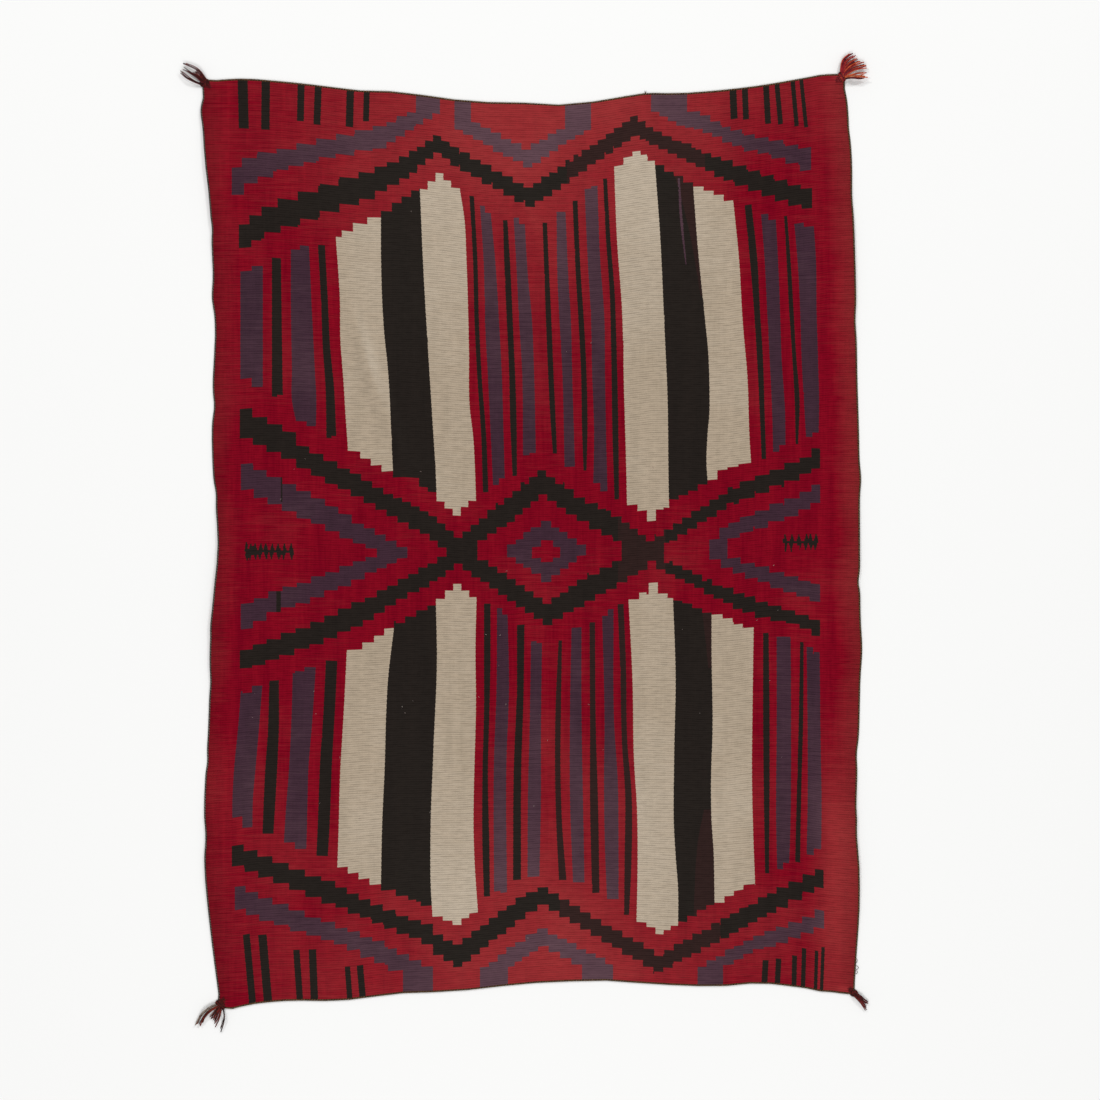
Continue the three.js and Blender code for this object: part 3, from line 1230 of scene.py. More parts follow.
@dataclass(frozen=True)
class WeaversChart:
    """The whole design. A later motif covers an earlier one, and red is the ground."""

    sliver: float = 0.9  # mm: a shorter stretch of colour joins the one before it

    @cached_property
    def motifs(self) -> list[Motif]:
        """Every motif, in the order in which they are laid."""
        return BroadBands().motifs() + NarrowStripes().motifs() + Zigzags().motifs() + EndBars().motifs()

    def colours(self, row: Row) -> list[tuple[float, float, Yarn]]:
        """The stretches of colour along one rib.

        Args:
            row: The rib in chart terms.

        Returns:
            (start, end, yarn) from left to right, without gaps.
        """
        painted = []
        cuts = {row.start, row.end}
        for motif in self.motifs:
            for x0, x1 in motif.spans(row):
                x0, x1 = max(x0, row.start), min(x1, row.end)
                if x1 > x0:
                    painted.append((x0, x1, motif.yarn))
                    cuts.update((x0, x1))
        edges = sorted(cuts)
        found: list[tuple[float, float, Yarn]] = []
        for x0, x1 in zip(edges, edges[1:]):
            middle = (x0 + x1) / 2
            yarn = next((colour for a, b, colour in reversed(painted) if a <= middle <= b), Yarn.RED)
            if found and (found[-1][2] is yarn or x1 - x0 < self.sliver):
                found[-1] = (found[-1][0], x1, found[-1][2])
            else:
                found.append((x0, x1, yarn))
        return found


class Side(Enum):
    """A side of the rug."""

    LEFT = "left"
    RIGHT = "right"
    BOTTOM = "bottom"
    TOP = "top"

    @property
    def upright(self) -> bool:
        """Whether the side runs up the rug."""
        return self in (Side.LEFT, Side.RIGHT)

    @property
    def outward(self) -> int:
        """Which way along its cross axis leads out of the cloth."""
        return 1 if self in (Side.RIGHT, Side.TOP) else -1


@dataclass(frozen=True)
class Curl:
    """A stretch of a side margin that lifts off the floor, as in the CAD cloth. Sizes in mm."""

    side: Side
    y: float
    half_length: float
    reach: float
    height: float

    def rise(self, inward: np.ndarray, y: np.ndarray) -> np.ndarray:
        """How high the margin lifts.

        Args:
            inward: Distance of each point from the side that curls.
            y: Place of each point up the rug.

        Returns:
            Heights in mm.
        """
        near = np.clip(np.abs(y - self.y) / self.half_length, 0, 1)
        away = np.clip(1 - np.clip(inward, 0, None) / self.reach, 0, 1)
        return self.height * np.cos(np.pi / 2 * near) ** 2 * away**2


@dataclass(frozen=True)
class Fold:
    """A soft slanting ripple where the cloth was folded. Sizes in mm."""

    start: tuple[float, float]
    end: tuple[float, float]
    width: float
    height: float

    def rise(self, x: np.ndarray, y: np.ndarray) -> np.ndarray:
        """Its height at plan points.

        Args:
            x: Places across the rug.
            y: Places up the rug.

        Returns:
            Heights in mm.
        """
        heading = np.subtract(self.end, self.start)
        length = float(np.hypot(*heading))
        heading = heading / length
        along = (x - self.start[0]) * heading[0] + (y - self.start[1]) * heading[1]
        aside = (y - self.start[1]) * heading[0] - (x - self.start[0]) * heading[1]
        ends = np.cos(np.pi * np.clip(along / length - 0.5, -0.5, 0.5)) ** 2
        return self.height * ends * np.exp(-((aside / self.width) ** 2))

    def painted_light_and_shade(self, x: np.ndarray, y: np.ndarray) -> np.ndarray:
        """Painted light and shade across the fold: above 0 its right slope is painted lighter, below 0 its
        left slope is painted darker, as lamplight from the right would fall.
        """
        step = 0.5 * self.width
        return (self.rise(x - step, y) - self.rise(x + step, y)) / TALLEST_FOLD

    def crossing(self, y: float) -> float | None:
        """Where the fold's crest crosses a height, or None beyond its ends."""
        share = (y - self.start[1]) / (self.end[1] - self.start[1])
        return self.start[0] + share * (self.end[0] - self.start[0]) if 0 < share < 1 else None


@dataclass(frozen=True)
class Ripple:
    """A small bulge or hollow of one side of the rug, over what the solid has. Sizes in mm."""

    side: Side
    place: float
    out: float
    reach: float

    def bulge(self, place: float) -> float:
        """How far it moves the side outwards at a place along it."""
        return self.out * math.exp(-(((place - self.place) / self.reach) ** 2))


TALLEST_FOLD = 3.2  # mm
FOLDS = (
    Fold((-368, 530), (-250, 140), 15, TALLEST_FOLD),
    Fold((-305, 430), (-225, 60), 11, 1.5),
    Fold((-60, 800), (40, 560), 16, 1.2),
)

CURLS = (
    Curl(Side.LEFT, 725, 230, 100, 7),
    Curl(Side.LEFT, -110, 270, 115, 8),
    Curl(Side.LEFT, -640, 190, 75, 3.5),
    Curl(Side.RIGHT, 560, 260, 75, 4),
    Curl(Side.RIGHT, -30, 240, 65, 3),
    Curl(Side.RIGHT, -610, 230, 85, 5),
)

# The photo's sides wander a little all the way; these are the ripples that stand out.
RIPPLES = (
    Ripple(Side.LEFT, 860, 4.5, 22),
    Ripple(Side.LEFT, 625, -2.0, 18),
    Ripple(Side.LEFT, 488, 4.5, 30),
    Ripple(Side.LEFT, 270, -3.8, 24),
    Ripple(Side.LEFT, 95, -2.8, 22),
    Ripple(Side.LEFT, -165, 1.5, 24),
    Ripple(Side.LEFT, -280, -2.2, 28),
    Ripple(Side.LEFT, -440, -2.0, 16),
    Ripple(Side.LEFT, -590, -3.4, 30),
    Ripple(Side.RIGHT, 830, -2.4, 28),
    Ripple(Side.RIGHT, 690, -1.8, 34),
    Ripple(Side.RIGHT, 440, -2.4, 30),
    Ripple(Side.RIGHT, 125, 3.0, 26),
    Ripple(Side.RIGHT, -80, -3.4, 16),
    Ripple(Side.RIGHT, -215, 3.4, 44),
    Ripple(Side.RIGHT, -425, -3.0, 26),
    Ripple(Side.RIGHT, -560, 2.0, 20),
    Ripple(Side.TOP, 240, 2.6, 26),
    Ripple(Side.BOTTOM, 590, 2.4, 18),
)


@dataclass
class ClothShape:
    """The laid cloth's outline, taken from the CAD cloth, and its lie. Everything here is in mm."""

    node: bpy.types.Object
    under_cord: float = 1.6  # how far the woven edge runs in under its selvedge cord
    corner_skip: float = 26.0  # stretch of each edge next to a corner, where the knot has cut the cloth
    station: float = 9.0  # from one point of a side to the next
    flare: float = 3.0  # how far the two end sides swing out at the corners
    flare_reach: float = 45.0
    cockle_height: float = 0.42  # of the soft rise and fall of the laid cloth
    lower_left: tuple[float, float] = (-611.5, -929.5)
    lower_right: tuple[float, float] = (656.5, -903.0)
    upper_left: tuple[float, float] = (-643.0, 921.5)
    upper_right: tuple[float, float] = (637.5, 932.5)

    def __post_init__(self) -> None:
        """Reads the four sides off the CAD mesh."""
        mesh = self.node.data
        points = np.zeros(len(mesh.vertices) * 3)
        mesh.vertices.foreach_get("co", points)
        points = points.reshape(-1, 3) / MM
        edges = np.zeros(len(mesh.edges) * 2, int)
        mesh.edges.foreach_get("vertices", edges)
        ends = points[edges.reshape(-1, 2)]
        self.sides = {
            Side.LEFT: self._side(ends, Side.LEFT, self.lower_left, self.upper_left),
            Side.RIGHT: self._side(ends, Side.RIGHT, self.lower_right, self.upper_right),
            Side.BOTTOM: self._side(ends, Side.BOTTOM, self.lower_left, self.lower_right),
            Side.TOP: self._side(ends, Side.TOP, self.upper_left, self.upper_right),
        }

    def _side(
        self, ends: np.ndarray, side: Side, first: tuple[float, float], last: tuple[float, float]
    ) -> np.ndarray:
        """One side of the outline as points, read off the CAD mesh and closed at the two corners.

        Args:
            ends: The two ends of every edge of the mesh.
            side: Which side.
            first: The corner that the side begins at.
            last: The corner that it ends at.

        Returns:
            Points in mm, one to a row.
        """
        along = int(side.upright)
        across = 1 - along
        pick = max if side.outward > 0 else min
        low, high = ends[:, :, along].min(axis=1), ends[:, :, along].max(axis=1)
        made = [first]
        for value in np.arange(first[along] + self.corner_skip, last[along] - self.corner_skip, self.station):
            hit = ends[(low <= value) & (high >= value) & (high - low > 1e-6)]
            share = (value - hit[:, 0, along]) / (hit[:, 1, along] - hit[:, 0, along])
            place = float(pick(hit[:, 0, across] + share * (hit[:, 1, across] - hit[:, 0, across])))
            place += side.outward * self.under_cord
            near = min(abs(value - first[along]), abs(last[along] - value))
            if not side.upright:
                place += side.outward * self.flare * math.exp(-((near / self.flare_reach) ** 2))
            for ripple in RIPPLES:
                if ripple.side is side:
                    place += side.outward * ripple.bulge(value)
            made.append((place, value) if side.upright else (value, place))
        made.append(last)
        return np.array(made)

    def along(self, side: Side, share: np.ndarray) -> np.ndarray:
        """Points of one side.

        Args:
            side: Which side.
            share: Places along it, as shares of its length along its own axis.

        Returns:
            Plan points in mm.
        """
        points = self.sides[side]
        axis = int(side.upright)
        value = points[0, axis] + (points[-1, axis] - points[0, axis]) * share
        other = np.interp(value, points[:, axis], points[:, 1 - axis])
        return np.stack([other, value] if side.upright else [value, other], axis=-1)

    def plan(self, u: np.ndarray, v: np.ndarray) -> np.ndarray:
        """The cloth's plan as a patch between its four sides.

        Args:
            u: Shares of the way across, from the left.
            v: Shares of the way up the rug.

        Returns:
            Plan points in mm.
        """
        u, v = np.broadcast_arrays(np.asarray(u, float), np.asarray(v, float))
        bottom, top = self.along(Side.BOTTOM, u), self.along(Side.TOP, u)
        left, right = self.along(Side.LEFT, v), self.along(Side.RIGHT, v)
        a, b = u[..., None], v[..., None]
        flat = (1 - a) * (1 - b) * np.array(self.lower_left) + a * (1 - b) * np.array(self.lower_right)
        flat = flat + (1 - a) * b * np.array(self.upper_left) + a * b * np.array(self.upper_right)
        place = (1 - b) * bottom + b * top + (1 - a) * left + a * right - flat
        inside = np.clip(30 * np.minimum(np.minimum(a, 1 - a), np.minimum(b, 1 - b)), 0, 1)
        return place + self._wander(place) * inside

    @staticmethod
    def _wander(place: np.ndarray) -> np.ndarray:
        """How far the yarns stray from their even places on a hand loom, at most 1.4 mm.

        Args:
            place: Plan points.

        Returns:
            The way from each point to where its yarn lies.
        """
        x, y = place[..., 0], place[..., 1]
        aside = 0.7 * np.sin(y / 43 + 1.7 * np.sin(x / 90)) + 0.3 * np.sin(y / 17 + x / 60)
        along = 0.8 * np.sin(x / 35 + 0.9 * np.sin(y / 61))
        along = along + 0.6 * np.sin(x / 15.0 + y / 29 + 1.5 * np.sin(y / 140))
        return np.stack([aside, along], axis=-1)

    def lift(self, x: np.ndarray, y: np.ndarray) -> np.ndarray:
        """Height of the cloth's underside over the floor.

        Args:
            x: Places across the rug.
            y: Places up the rug.

        Returns:
            Heights in mm.
        """
        left, right = self.sides[Side.LEFT], self.sides[Side.RIGHT]
        from_left = x - np.interp(y, left[:, 1], left[:, 0])
        from_right = np.interp(y, right[:, 1], right[:, 0]) - x
        raised = np.zeros_like(x)
        for curl in CURLS:
            inward = from_left if curl.side is Side.LEFT else from_right
            raised = np.maximum(raised, curl.rise(inward, y))
        for fold in FOLDS:
            raised = raised + fold.rise(x, y)
        return raised

    def cockle(self, x: np.ndarray, y: np.ndarray) -> np.ndarray:
        """Soft uneven rise and fall of wool that has been folded and laid out again.

        Args:
            x: Places across the rug.
            y: Places up the rug.

        Returns:
            Heights in mm over or under the mean face.
        """
        wave = np.sin(x / 83 + 1.3 * np.sin(y / 310)) * np.sin(y / 121 + 0.8 * np.sin(x / 240))
        wave += 0.6 * np.sin(x / 41 + y / 190 + 2.0) * np.cos(y / 67 - x / 300)
        return self.cockle_height * wave


@dataclass
class MeshMaker:
    """Collects points and faces in mm, then makes one mesh object of them in metres."""

    name: str
    points: list[tuple[float, float, float]] = field(default_factory=list)
    faces: list[tuple[int, ...]] = field(default_factory=list)
    slots: list[int] = field(default_factory=list)

    def add(self, points: list[tuple[float, float, float]]) -> int:
        """Adds points and returns the first one's number."""
        self.points.extend(points)
        return len(self.points) - len(points)

    def build(self, materials: list[bpy.types.Material], smooth: bool = True) -> bpy.types.Object:
        """Makes the object in the scene.

        Args:
            materials: In the order of the faces' slots.
            smooth: Whether light flows over the faces' joins.

        Returns:
            The new object.
        """
        mesh = bpy.data.meshes.new(self.name)
        mesh.from_pydata([(x * MM, y * MM, z * MM) for x, y, z in self.points], [], self.faces)
        for material in materials:
            mesh.materials.append(material)
        if self.slots:
            mesh.polygons.foreach_set("material_index", self.slots)
        mesh.polygons.foreach_set("use_smooth", [smooth] * len(mesh.polygons))
        mesh.validate()
        mesh.update()
        made = bpy.data.objects.new(self.name, mesh)
        bpy.context.scene.collection.objects.link(made)
        return made


@dataclass(frozen=True)
class WearAndLight:
    """How pale the wool is drawn, from 0 to 1: most along the middle of both ends and at the right margin.
    This is partly real fading and partly painted light, the top end drawn paler as a lamp near it would light
    it.
    """

    heights: tuple[float, ...] = (-950, -860, -700, -500, -300, -150, 100, 250, 400, 600, 760, 900)
    amounts: tuple[float, ...] = (0.6, 0.58, 0.48, 0.28, 0.12, 0.04, 0.02, 0.08, 0.2, 0.34, 0.6, 0.74)
    middle: float = 20.0  # x of the palest line
    reach: float = 380.0  # how far that paling spreads to both sides
    margin: float = 0.16  # share of it that is left at the margins
    low_right: float = 0.62
    left_edge: float = 0.24
    right_edge: float = 0.5

    def at(self, us: np.ndarray, x: np.ndarray, y: np.ndarray) -> np.ndarray:
        """The wear and painted light at points of the cloth.

        Args:
            us: Shares of the cloth's width.
            x: Places across the rug in mm.
            y: Places up the rug in mm.

        Returns:
            Wear and painted light from 0 to 1.
        """
        ends = np.interp(y, self.heights, self.amounts)
        middle = np.exp(-(((x - self.middle) / self.reach) ** 2))
        low_right = np.clip((x - 540) / 90, 0, 1) * np.clip((-330 - y) / 200, 0, 1) * self.low_right
        left = np.clip((0.022 - us) / 0.012, 0, 1) * self.left_edge
        right = np.clip((us - 0.974) / 0.016, 0, 1) * self.right_edge
        spread = ends * (self.margin + (1 - self.margin) * middle)
        return np.clip(np.maximum.reduce([spread, low_right, left, right]), 0, 1)


@dataclass(frozen=True)
class Line:
    """A line of mesh points across the cloth: their shares of its width and their numbers in the mesh."""

    shares: list[float]
    points: list[int]


@dataclass
class WovenCloth:
    """The rug's cloth, rib by rib, with the same design on both faces. Sizes in mm."""

    shape: ClothShape
    chart: WeaversChart
    rng: random.Random
    wear_and_light_map: WearAndLight = WearAndLight()
    weft_turn: float = 0.2  # how far a weft turns past its neighbour at a colour's edge
    turn_spread: float = 0.12
    filler_step: float = 52.0  # longest run of a warp between mesh points
    width: float = 1290.0
    edge_fillers: int = 180  # mesh points along each of the lines that carry the rug's own ends
    edge_lines: int = 6
    crowd: float = 0.004  # share of the width within which a filler would crowd a cut
    fold_stations: int = 160
    fold_reach: float = 2.6  # how far the closer points reach, in widths of the fold
    smooth_margin: float = 0.012  # share of the width over which the cockle fades out
    back_ribs: int = 2  # ribs that one strip of the plain back covers
    # Painted shade on each fold's left slope and painted light on its right slope, both in the cloth's
    # colour.
    fold_painted_shade: float = 0.75
    fold_painted_light: float = 0.6

    def __post_init__(self) -> None:
        """Counts the ribs and clears the marks that the wool materials read."""
        left = self.shape.sides[Side.LEFT]
        self.ribs = 2 * round((left[-1, 1] - left[0, 1]) / WEAVE.rib_pitch / 2)
        self.rib_mark: list[float] = []
        self.wear_and_light: list[float] = []
        self.parity: list[float] = []

    def build(self, materials: list[bpy.types.Material]) -> bpy.types.Object:
        """Makes the cloth as one closed sheet.

        Args:
            materials: One wool for each yarn, in the enum's order.

        Returns:
            The cloth object, with its rib attribute, its rib_side attribute and the attribute that holds wear
            and painted light.
        """
        maker = MeshMaker("rug_cloth")
        ribs = [self._rib(k) for k in range(self.ribs)]
        front = self._front(maker, ribs)
        back = self._back(maker, ribs)
        self._rim(maker, front, back)
        plain = [(0.0, 1.0, Yarn.RED)]
        for end, turned in ((0, False), (-1, True)):
            self._strip(maker, back[end], front[end], plain, 0, turned)
        cloth = maker.build(materials)
        mesh = cloth.data
        mesh.attributes.new("rib", "FLOAT", "POINT").data.foreach_set("value", self.rib_mark)
        mesh.attributes.new("wear_and_light", "FLOAT", "POINT").data.foreach_set("value", self.wear_and_light)
        mesh.attributes.new("rib_side", "FLOAT", "FACE").data.foreach_set("value", self.parity)
        self._chart_map(mesh)
        return cloth

    def _rib(self, k: int) -> list[Stretch]:
        """Colours along one rib, with the turns of its wefts.

        Args:
            k: The rib's number from the rug's lower end.

        Returns:
            Stretches as shares of the rib's width.
        """
        across = np.linspace(0, 1, 161)
        plan = self.shape.plan(across, np.full_like(across, (k + 0.5) / self.ribs))
        row = Row(plan[:, 0] + CHART_X, CHART_Y - plan[:, 1])
        turn = self.weft_turn if k % 2 else -self.weft_turn
        found: list[Stretch] = []
        stretches = self.chart.colours(row)
        for n, (_, x1, yarn) in enumerate(stretches):
            shift = turn + self.rng.uniform(-self.turn_spread, self.turn_spread)
            end = x1 + shift if n < len(stretches) - 1 else x1
            share = float(np.interp(end, row.xs, across))
            found.append((found[-1][1] if found else 0.0, share, yarn))
        return found

    def _line(self, maker: MeshMaker, v: float, shares: list[float], height: float, mark: float) -> Line:
        """Adds one line of points across the cloth.

        Args:
            maker: Where the points go.
            v: The line's share of the way up the rug.
            shares: The points' shares of the width.
            height: Height over the underside.
            mark: 1 on a rib's crest and 0 in the valley.

        Returns:
            The line.
        """
        us = np.array(shares)
        plan = self.shape.plan(us, np.full_like(us, v))
        x, y = plan[:, 0], plan[:, 1]
        z = self.shape.lift(x, y) + height
        if height > WEAVE.face / 2:
            z = z + self.shape.cockle(x, y) * np.clip(np.minimum(us, 1 - us) / self.smooth_margin, 0, 1)
        start = maker.add(list(zip(x.tolist(), y.tolist(), z.tolist())))
        # Painted light and shade of the folds: the shaded slope lowers the rib mark, which paints the wool
        # darker, and the lit slope is mixed towards the pale colour.
        fold_shading = sum(fold.painted_light_and_shade(x, y) for fold in FOLDS)
        self.rib_mark.extend((mark * (1 - self.fold_painted_shade * np.clip(-fold_shading, 0, 1))).tolist())
        wear_and_light_map = self.wear_and_light_map.at(us, x, y) + self.fold_painted_light * np.clip(fold_shading, 0, 1)
        self.wear_and_light.extend(np.clip(wear_and_light_map, 0, 1).tolist())
        return Line(shares, list(range(start, start + len(us))))

    def _fillers(self, end_line: bool) -> list[float]:
        """Mesh points along a warp; close together on the lines that carry the rug's own ends."""
        count = self.edge_fillers if end_line else math.ceil(self.width / self.filler_step)
        return [i / count for i in range(1, count)]

    def _fold_points(self, v: float) -> list[float]:
        """Closer mesh points across each fold that a line crosses.

        Args:
            v: The line's share of the way up the rug.

        Returns:
            Shares of the width.
        """
        left, right = self.shape.plan(np.array([0.0, 1.0]), np.array([v, v]))
        shares = np.arange(1, self.fold_stations) / self.fold_stations
        places = left[0] + (right[0] - left[0]) * shares
        found: set[float] = set()
        for fold in FOLDS:
            crest = fold.crossing(float(left[1] + right[1]) / 2)
            if crest is not None:
                found.update(shares[np.abs(places - crest) < self.fold_reach * fold.width].tolist())
        return sorted(found)

    def _front(self, maker: MeshMaker, ribs: list[list[Stretch]]) -> list[Line]:
        """The ribbed front face: a valley line, a crest line, a valley line and so on up the rug.

        Args:
            maker: Where the faces go.
            ribs: The colours of every rib.

        Returns:
            The lines, from the lower end up.
        """
        last = 2 * self.ribs
        lines = []
        for j in range(last + 1):
            crest = j % 2 == 1
            fillers = self._fillers(j < self.edge_lines or j > last - self.edge_lines)
            fillers = fillers + self._fold_points(j / last)
            near = [ribs[j // 2]] if crest else [ribs[k] for k in (j // 2 - 1, j // 2) if 0 <= k < self.ribs]
            height = WEAVE.face + (WEAVE.rib_rise if crest else -WEAVE.rib_rise)
            lines.append(self._line(maker, j / last, self._merge(near, fillers), height, float(crest)))
        for j in range(last):
            self._strip(maker, lines[j], lines[j + 1], ribs[j // 2], j // 2 % 2, False)
        return lines

    def _back(self, maker: MeshMaker, ribs: list[list[Stretch]]) -> list[Line]:
        """The plain back, a few ribs to a strip.

        Args:
            maker: Where the faces go.
            ribs: The colours of every rib.

        Returns:
            The lines, from the lower end up.
        """
        strips = ribs[:: self.back_ribs]
        lines = []
        for j in range(len(strips) + 1):
            near = [strips[k] for k in (j - 1, j) if 0 <= k < len(strips)]
            shares = self._merge(near, self._fillers(j in (0, len(strips))))
            lines.append(self._line(maker, j / len(strips), shares, WEAVE.back, 0.5))
        for j, strip in enumerate(strips):
            self._strip(maker, lines[j], lines[j + 1], strip, j % 2, True)
        return lines

    def _merge(self, ribs: list[list[Stretch]], fillers: list[float]) -> list[float]:
        """Where a line has points: at each colour's end on the ribs beside it, with fillers between.

        Args:
            ribs: The ribs that meet at the line.
            fillers: Further shares, of which those that crowd a colour's end are left out.

        Returns:
            Shares of the width, in order.
        """
        ends = sorted({stretch[1] for rib in ribs for stretch in rib[:-1]})
        kept = [f for f in fillers if all(abs(f - e) > self.crowd for e in ends)]
        return sorted({0.0, 1.0, *ends, *kept})

    def _strip(
        self, maker: MeshMaker, low: Line, high: Line, colours: list[Stretch], parity: int, turned: bool
    ) -> None:
        """Fills the strip between two lines, one face for each stretch that both lines share.

        Args:
            maker: Where the faces go.
            low: The lower line.
            high: The upper line.
            colours: The strip's colours.
            parity: Whether the rib is an odd one.
            turned: Whether the faces look down.
        """
        common = sorted(set(low.shares) & set(high.shares))
        low_at = {s: i for i, s in enumerate(low.shares)}
        high_at = {s: i for i, s in enumerate(high.shares)}
        colour = 0
        for a, b in zip(common, common[1:]):
            while colour < len(colours) - 1 and colours[colour][1] < (a + b) / 2:
                colour += 1
            foot = low.points[low_at[a] : low_at[b] + 1]
            head = high.points[high_at[a] : high_at[b] + 1]
            face = foot + head[::-1]
            self._face(maker, face[::-1] if turned else face, colours[colour][2], parity)

    def _rim(self, maker: MeshMaker, front: list[Line], back: list[Line]) -> None:
        """Closes the sheet along its left and right sides.

        Args:
            maker: Where the faces go.
            front: The front's lines.
            back: The back's lines.
        """
        step = 2 * self.back_ribs
        for j in range(len(back) - 1):
            lines = front[j * step : j * step + step + 1]
            below, above = back[j].points, back[j + 1].points
            self._face(maker, [*(line.points[0] for line in lines), above[0], below[0]], Yarn.RED, 0)
            self._face(maker, [*(line.points[-1] for line in lines[::-1]), below[-1], above[-1]], Yarn.RED, 0)

    def _face(self, maker: MeshMaker, points: list[int], yarn: Yarn, parity: int) -> None:
        """Adds a face of one yarn.

        Args:
            maker: Where the face goes.
            points: The numbers of its points.
            yarn: Its wool.
            parity: Whether the rib is an odd one.
        """
        maker.faces.append(tuple(points))
        maker.slots.append(yarn.value)
        self.parity.append(float(parity))

    @staticmethod
    def _chart_map(mesh: bpy.types.Mesh) -> None:
        """Lays the front face in one half of the picture plane and the back in the other.

        Args:
            mesh: The cloth's mesh.
        """
        layer = mesh.uv_layers.new(name="OFBake")
        corner = np.zeros(len(mesh.loops), int)
        mesh.loops.foreach_get("vertex_index", corner)
        points = np.zeros(len(mesh.vertices) * 3)
        mesh.vertices.foreach_get("co", points)
        points = points.reshape(-1, 3)
        normals = np.zeros(len(mesh.polygons) * 3)
        mesh.polygons.foreach_get("normal", normals)
        totals = np.zeros(len(mesh.polygons), int)
        mesh.polygons.foreach_get("loop_total", totals)
        under = np.repeat(normals.reshape(-1, 3)[:, 2] < -0.2, totals)
        size = 1.92  # metres of rug over the height of the plane
        border = 0.005
        x = (points[corner, 0] + 0.67) / size * 0.72
        y = (points[corner, 1] + 0.96) / size * 0.98
        u = np.where(under, 1 - border - x, x + border)
        layer.data.foreach_set("uv", np.stack([u, y + border], axis=-1).ravel())


@dataclass(frozen=True)
class Twine:
    """A yarn of twisted plies along a path. Radius and twist pitch in mm."""

    radius: float
    plies: int
    pitch: float
    sides: int = 5  # of each ply's section
    turns: int = 6  # mesh rings to one turn of the twist
    ply_share: float = 0.58  # a ply's radius against the yarn's
    least_rings: int = 6

    def lay(
        self,
        maker: MeshMaker,
        path: list[tuple[float, float, float]] | np.ndarray,
        taper: float = 1.0,
        phase: float = 0.0,
        wools: tuple[int, ...] = (0,),
    ) -> None:
        """Adds the plies around a path.

        Args:
            maker: Where the faces go.
            path: Points in mm.
            taper: The far end's size as a share of the near one.
            phase: Where the twist begins, in turns.
            wools: Material slots that the plies take in turn.
        """
        path = np.array(path)
        steps = np.linalg.norm(np.diff(path, axis=0), axis=1)
        along = np.concatenate([[0], np.cumsum(steps)])
        count = max(self.least_rings, round(along[-1] / self.pitch * self.turns))
        at = np.linspace(0, along[-1], count + 1)
        centre = np.stack([np.interp(at, along, path[:, i]) for i in range(3)], axis=-1)
        tangent = np.gradient(centre, axis=0)
        tangent /= np.linalg.norm(tangent, axis=1, keepdims=True)
        side = np.cross(tangent, np.array([0.0, 0.0, 1.0]))
        side /= np.clip(np.linalg.norm(side, axis=1, keepdims=True), 1e-6, None)
        rise = np.cross(side, tangent)
        size = self.radius * (1 + (taper - 1) * (at / at[-1]))
        ply = size * (self.ply_share if self.plies > 1 else 1.0)
        offset = (size - ply)[:, None]
        for n in range(self.plies):
            turn = 2 * np.pi * (at / self.pitch + n / self.plies + phase)
            middle = centre + offset * (np.cos(turn)[:, None] * side + np.sin(turn)[:, None] * rise)
            self._ply(maker, middle, ply[:, None], side, rise, wools[n % len(wools)])

    def _ply(
        self,
        maker: MeshMaker,
        middle: np.ndarray,
        radius: np.ndarray,
        side: np.ndarray,
        rise: np.ndarray,
        wool: int,
    ) -> None:
        """Adds one ply as a closed tube.

        Args:
            maker: Where the faces go.
            middle: The ply's middle line.
            radius: Its radius at each point of that line.
            side: The way aside at each point.
            rise: The way up at each point.
            wool: Its material slot.
        """
        around = [2 * np.pi * k / self.sides for k in range(self.sides)]
        rings = [middle + radius * (math.cos(angle) * side + math.sin(angle) * rise) for angle in around]
        start = maker.add([tuple(p) for p in np.stack(rings, axis=1).reshape(-1, 3).tolist()])
        before = len(maker.faces)
        last = len(middle) - 1
        for i in range(last):
            for k in range(self.sides):
                a = start + i * self.sides + k
                b = start + i * self.sides + (k + 1) % self.sides
                maker.faces.append((a, b, b + self.sides, a + self.sides))
        maker.faces.append(tuple(start + k for k in range(self.sides))[::-1])
        maker.faces.append(tuple(start + last * self.sides + k for k in range(self.sides)))
        maker.slots.extend([wool] * (len(maker.faces) - before))


@dataclass(frozen=True)
class EdgeCord:
    """A selvedge cord of two dark plies and a paler one, twined around the outer wefts or warps. In mm."""

    shape: ClothShape
    side: Side
    radius: float = 2.0
    pitch: float = 5.2
    out: float = 1.0  # from the woven edge to the cord's middle
    inset: float = 0.002  # share of the side that is left free at each end
    stations: int = 500

    def build(self, materials: list[bpy.types.Material]) -> bpy.types.Object:
        """Makes the cord just outside its edge of the cloth.

        Args:
            materials: The dark wool and the paler one.

        Returns:
            The cord.
        """
        fine = self.shape.along(self.side, np.linspace(self.inset, 1 - self.inset, self.stations))
        heading = np.gradient(fine, axis=0)
        heading /= np.linalg.norm(heading, axis=1, keepdims=True)
        outward = np.stack([heading[:, 1], -heading[:, 0]], axis=-1)
        if self.side in (Side.LEFT, Side.TOP):
            outward = -outward
        lift = self.shape.lift(fine[:, 0], fine[:, 1]) if self.side.upright else np.zeros(len(fine))
        path = np.column_stack([fine + outward * self.out, lift + self.radius])
        maker = MeshMaker(self.side.value + "_selvedge")
        Twine(self.radius, 3, self.pitch).lay(maker, path, wools=(0, 0, 1))
        return maker.build(materials)


@dataclass(frozen=True)
class Lock:
    """Strands that leave a knot together: how many, where from, which way, how long, how bowed, what wool.

    stand is how far the stiff yarn holds itself off the floor, in mm.
    """

    strands: int
    root: float
    direction: float
    fan: float
    length: float
    bow: float
    wool: tuple[int, ...]
    stand: float = 2.0


@dataclass(frozen=True)
class TasselSize:
    """One corner tassel. Angles in degrees from +X, sizes in mm."""

    name: str
    corner: tuple[float, float]
    direction: float
    knot: tuple[float, float, float]  # half length, half width and height
    strand: float  # radius
    locks: tuple[Lock, ...]


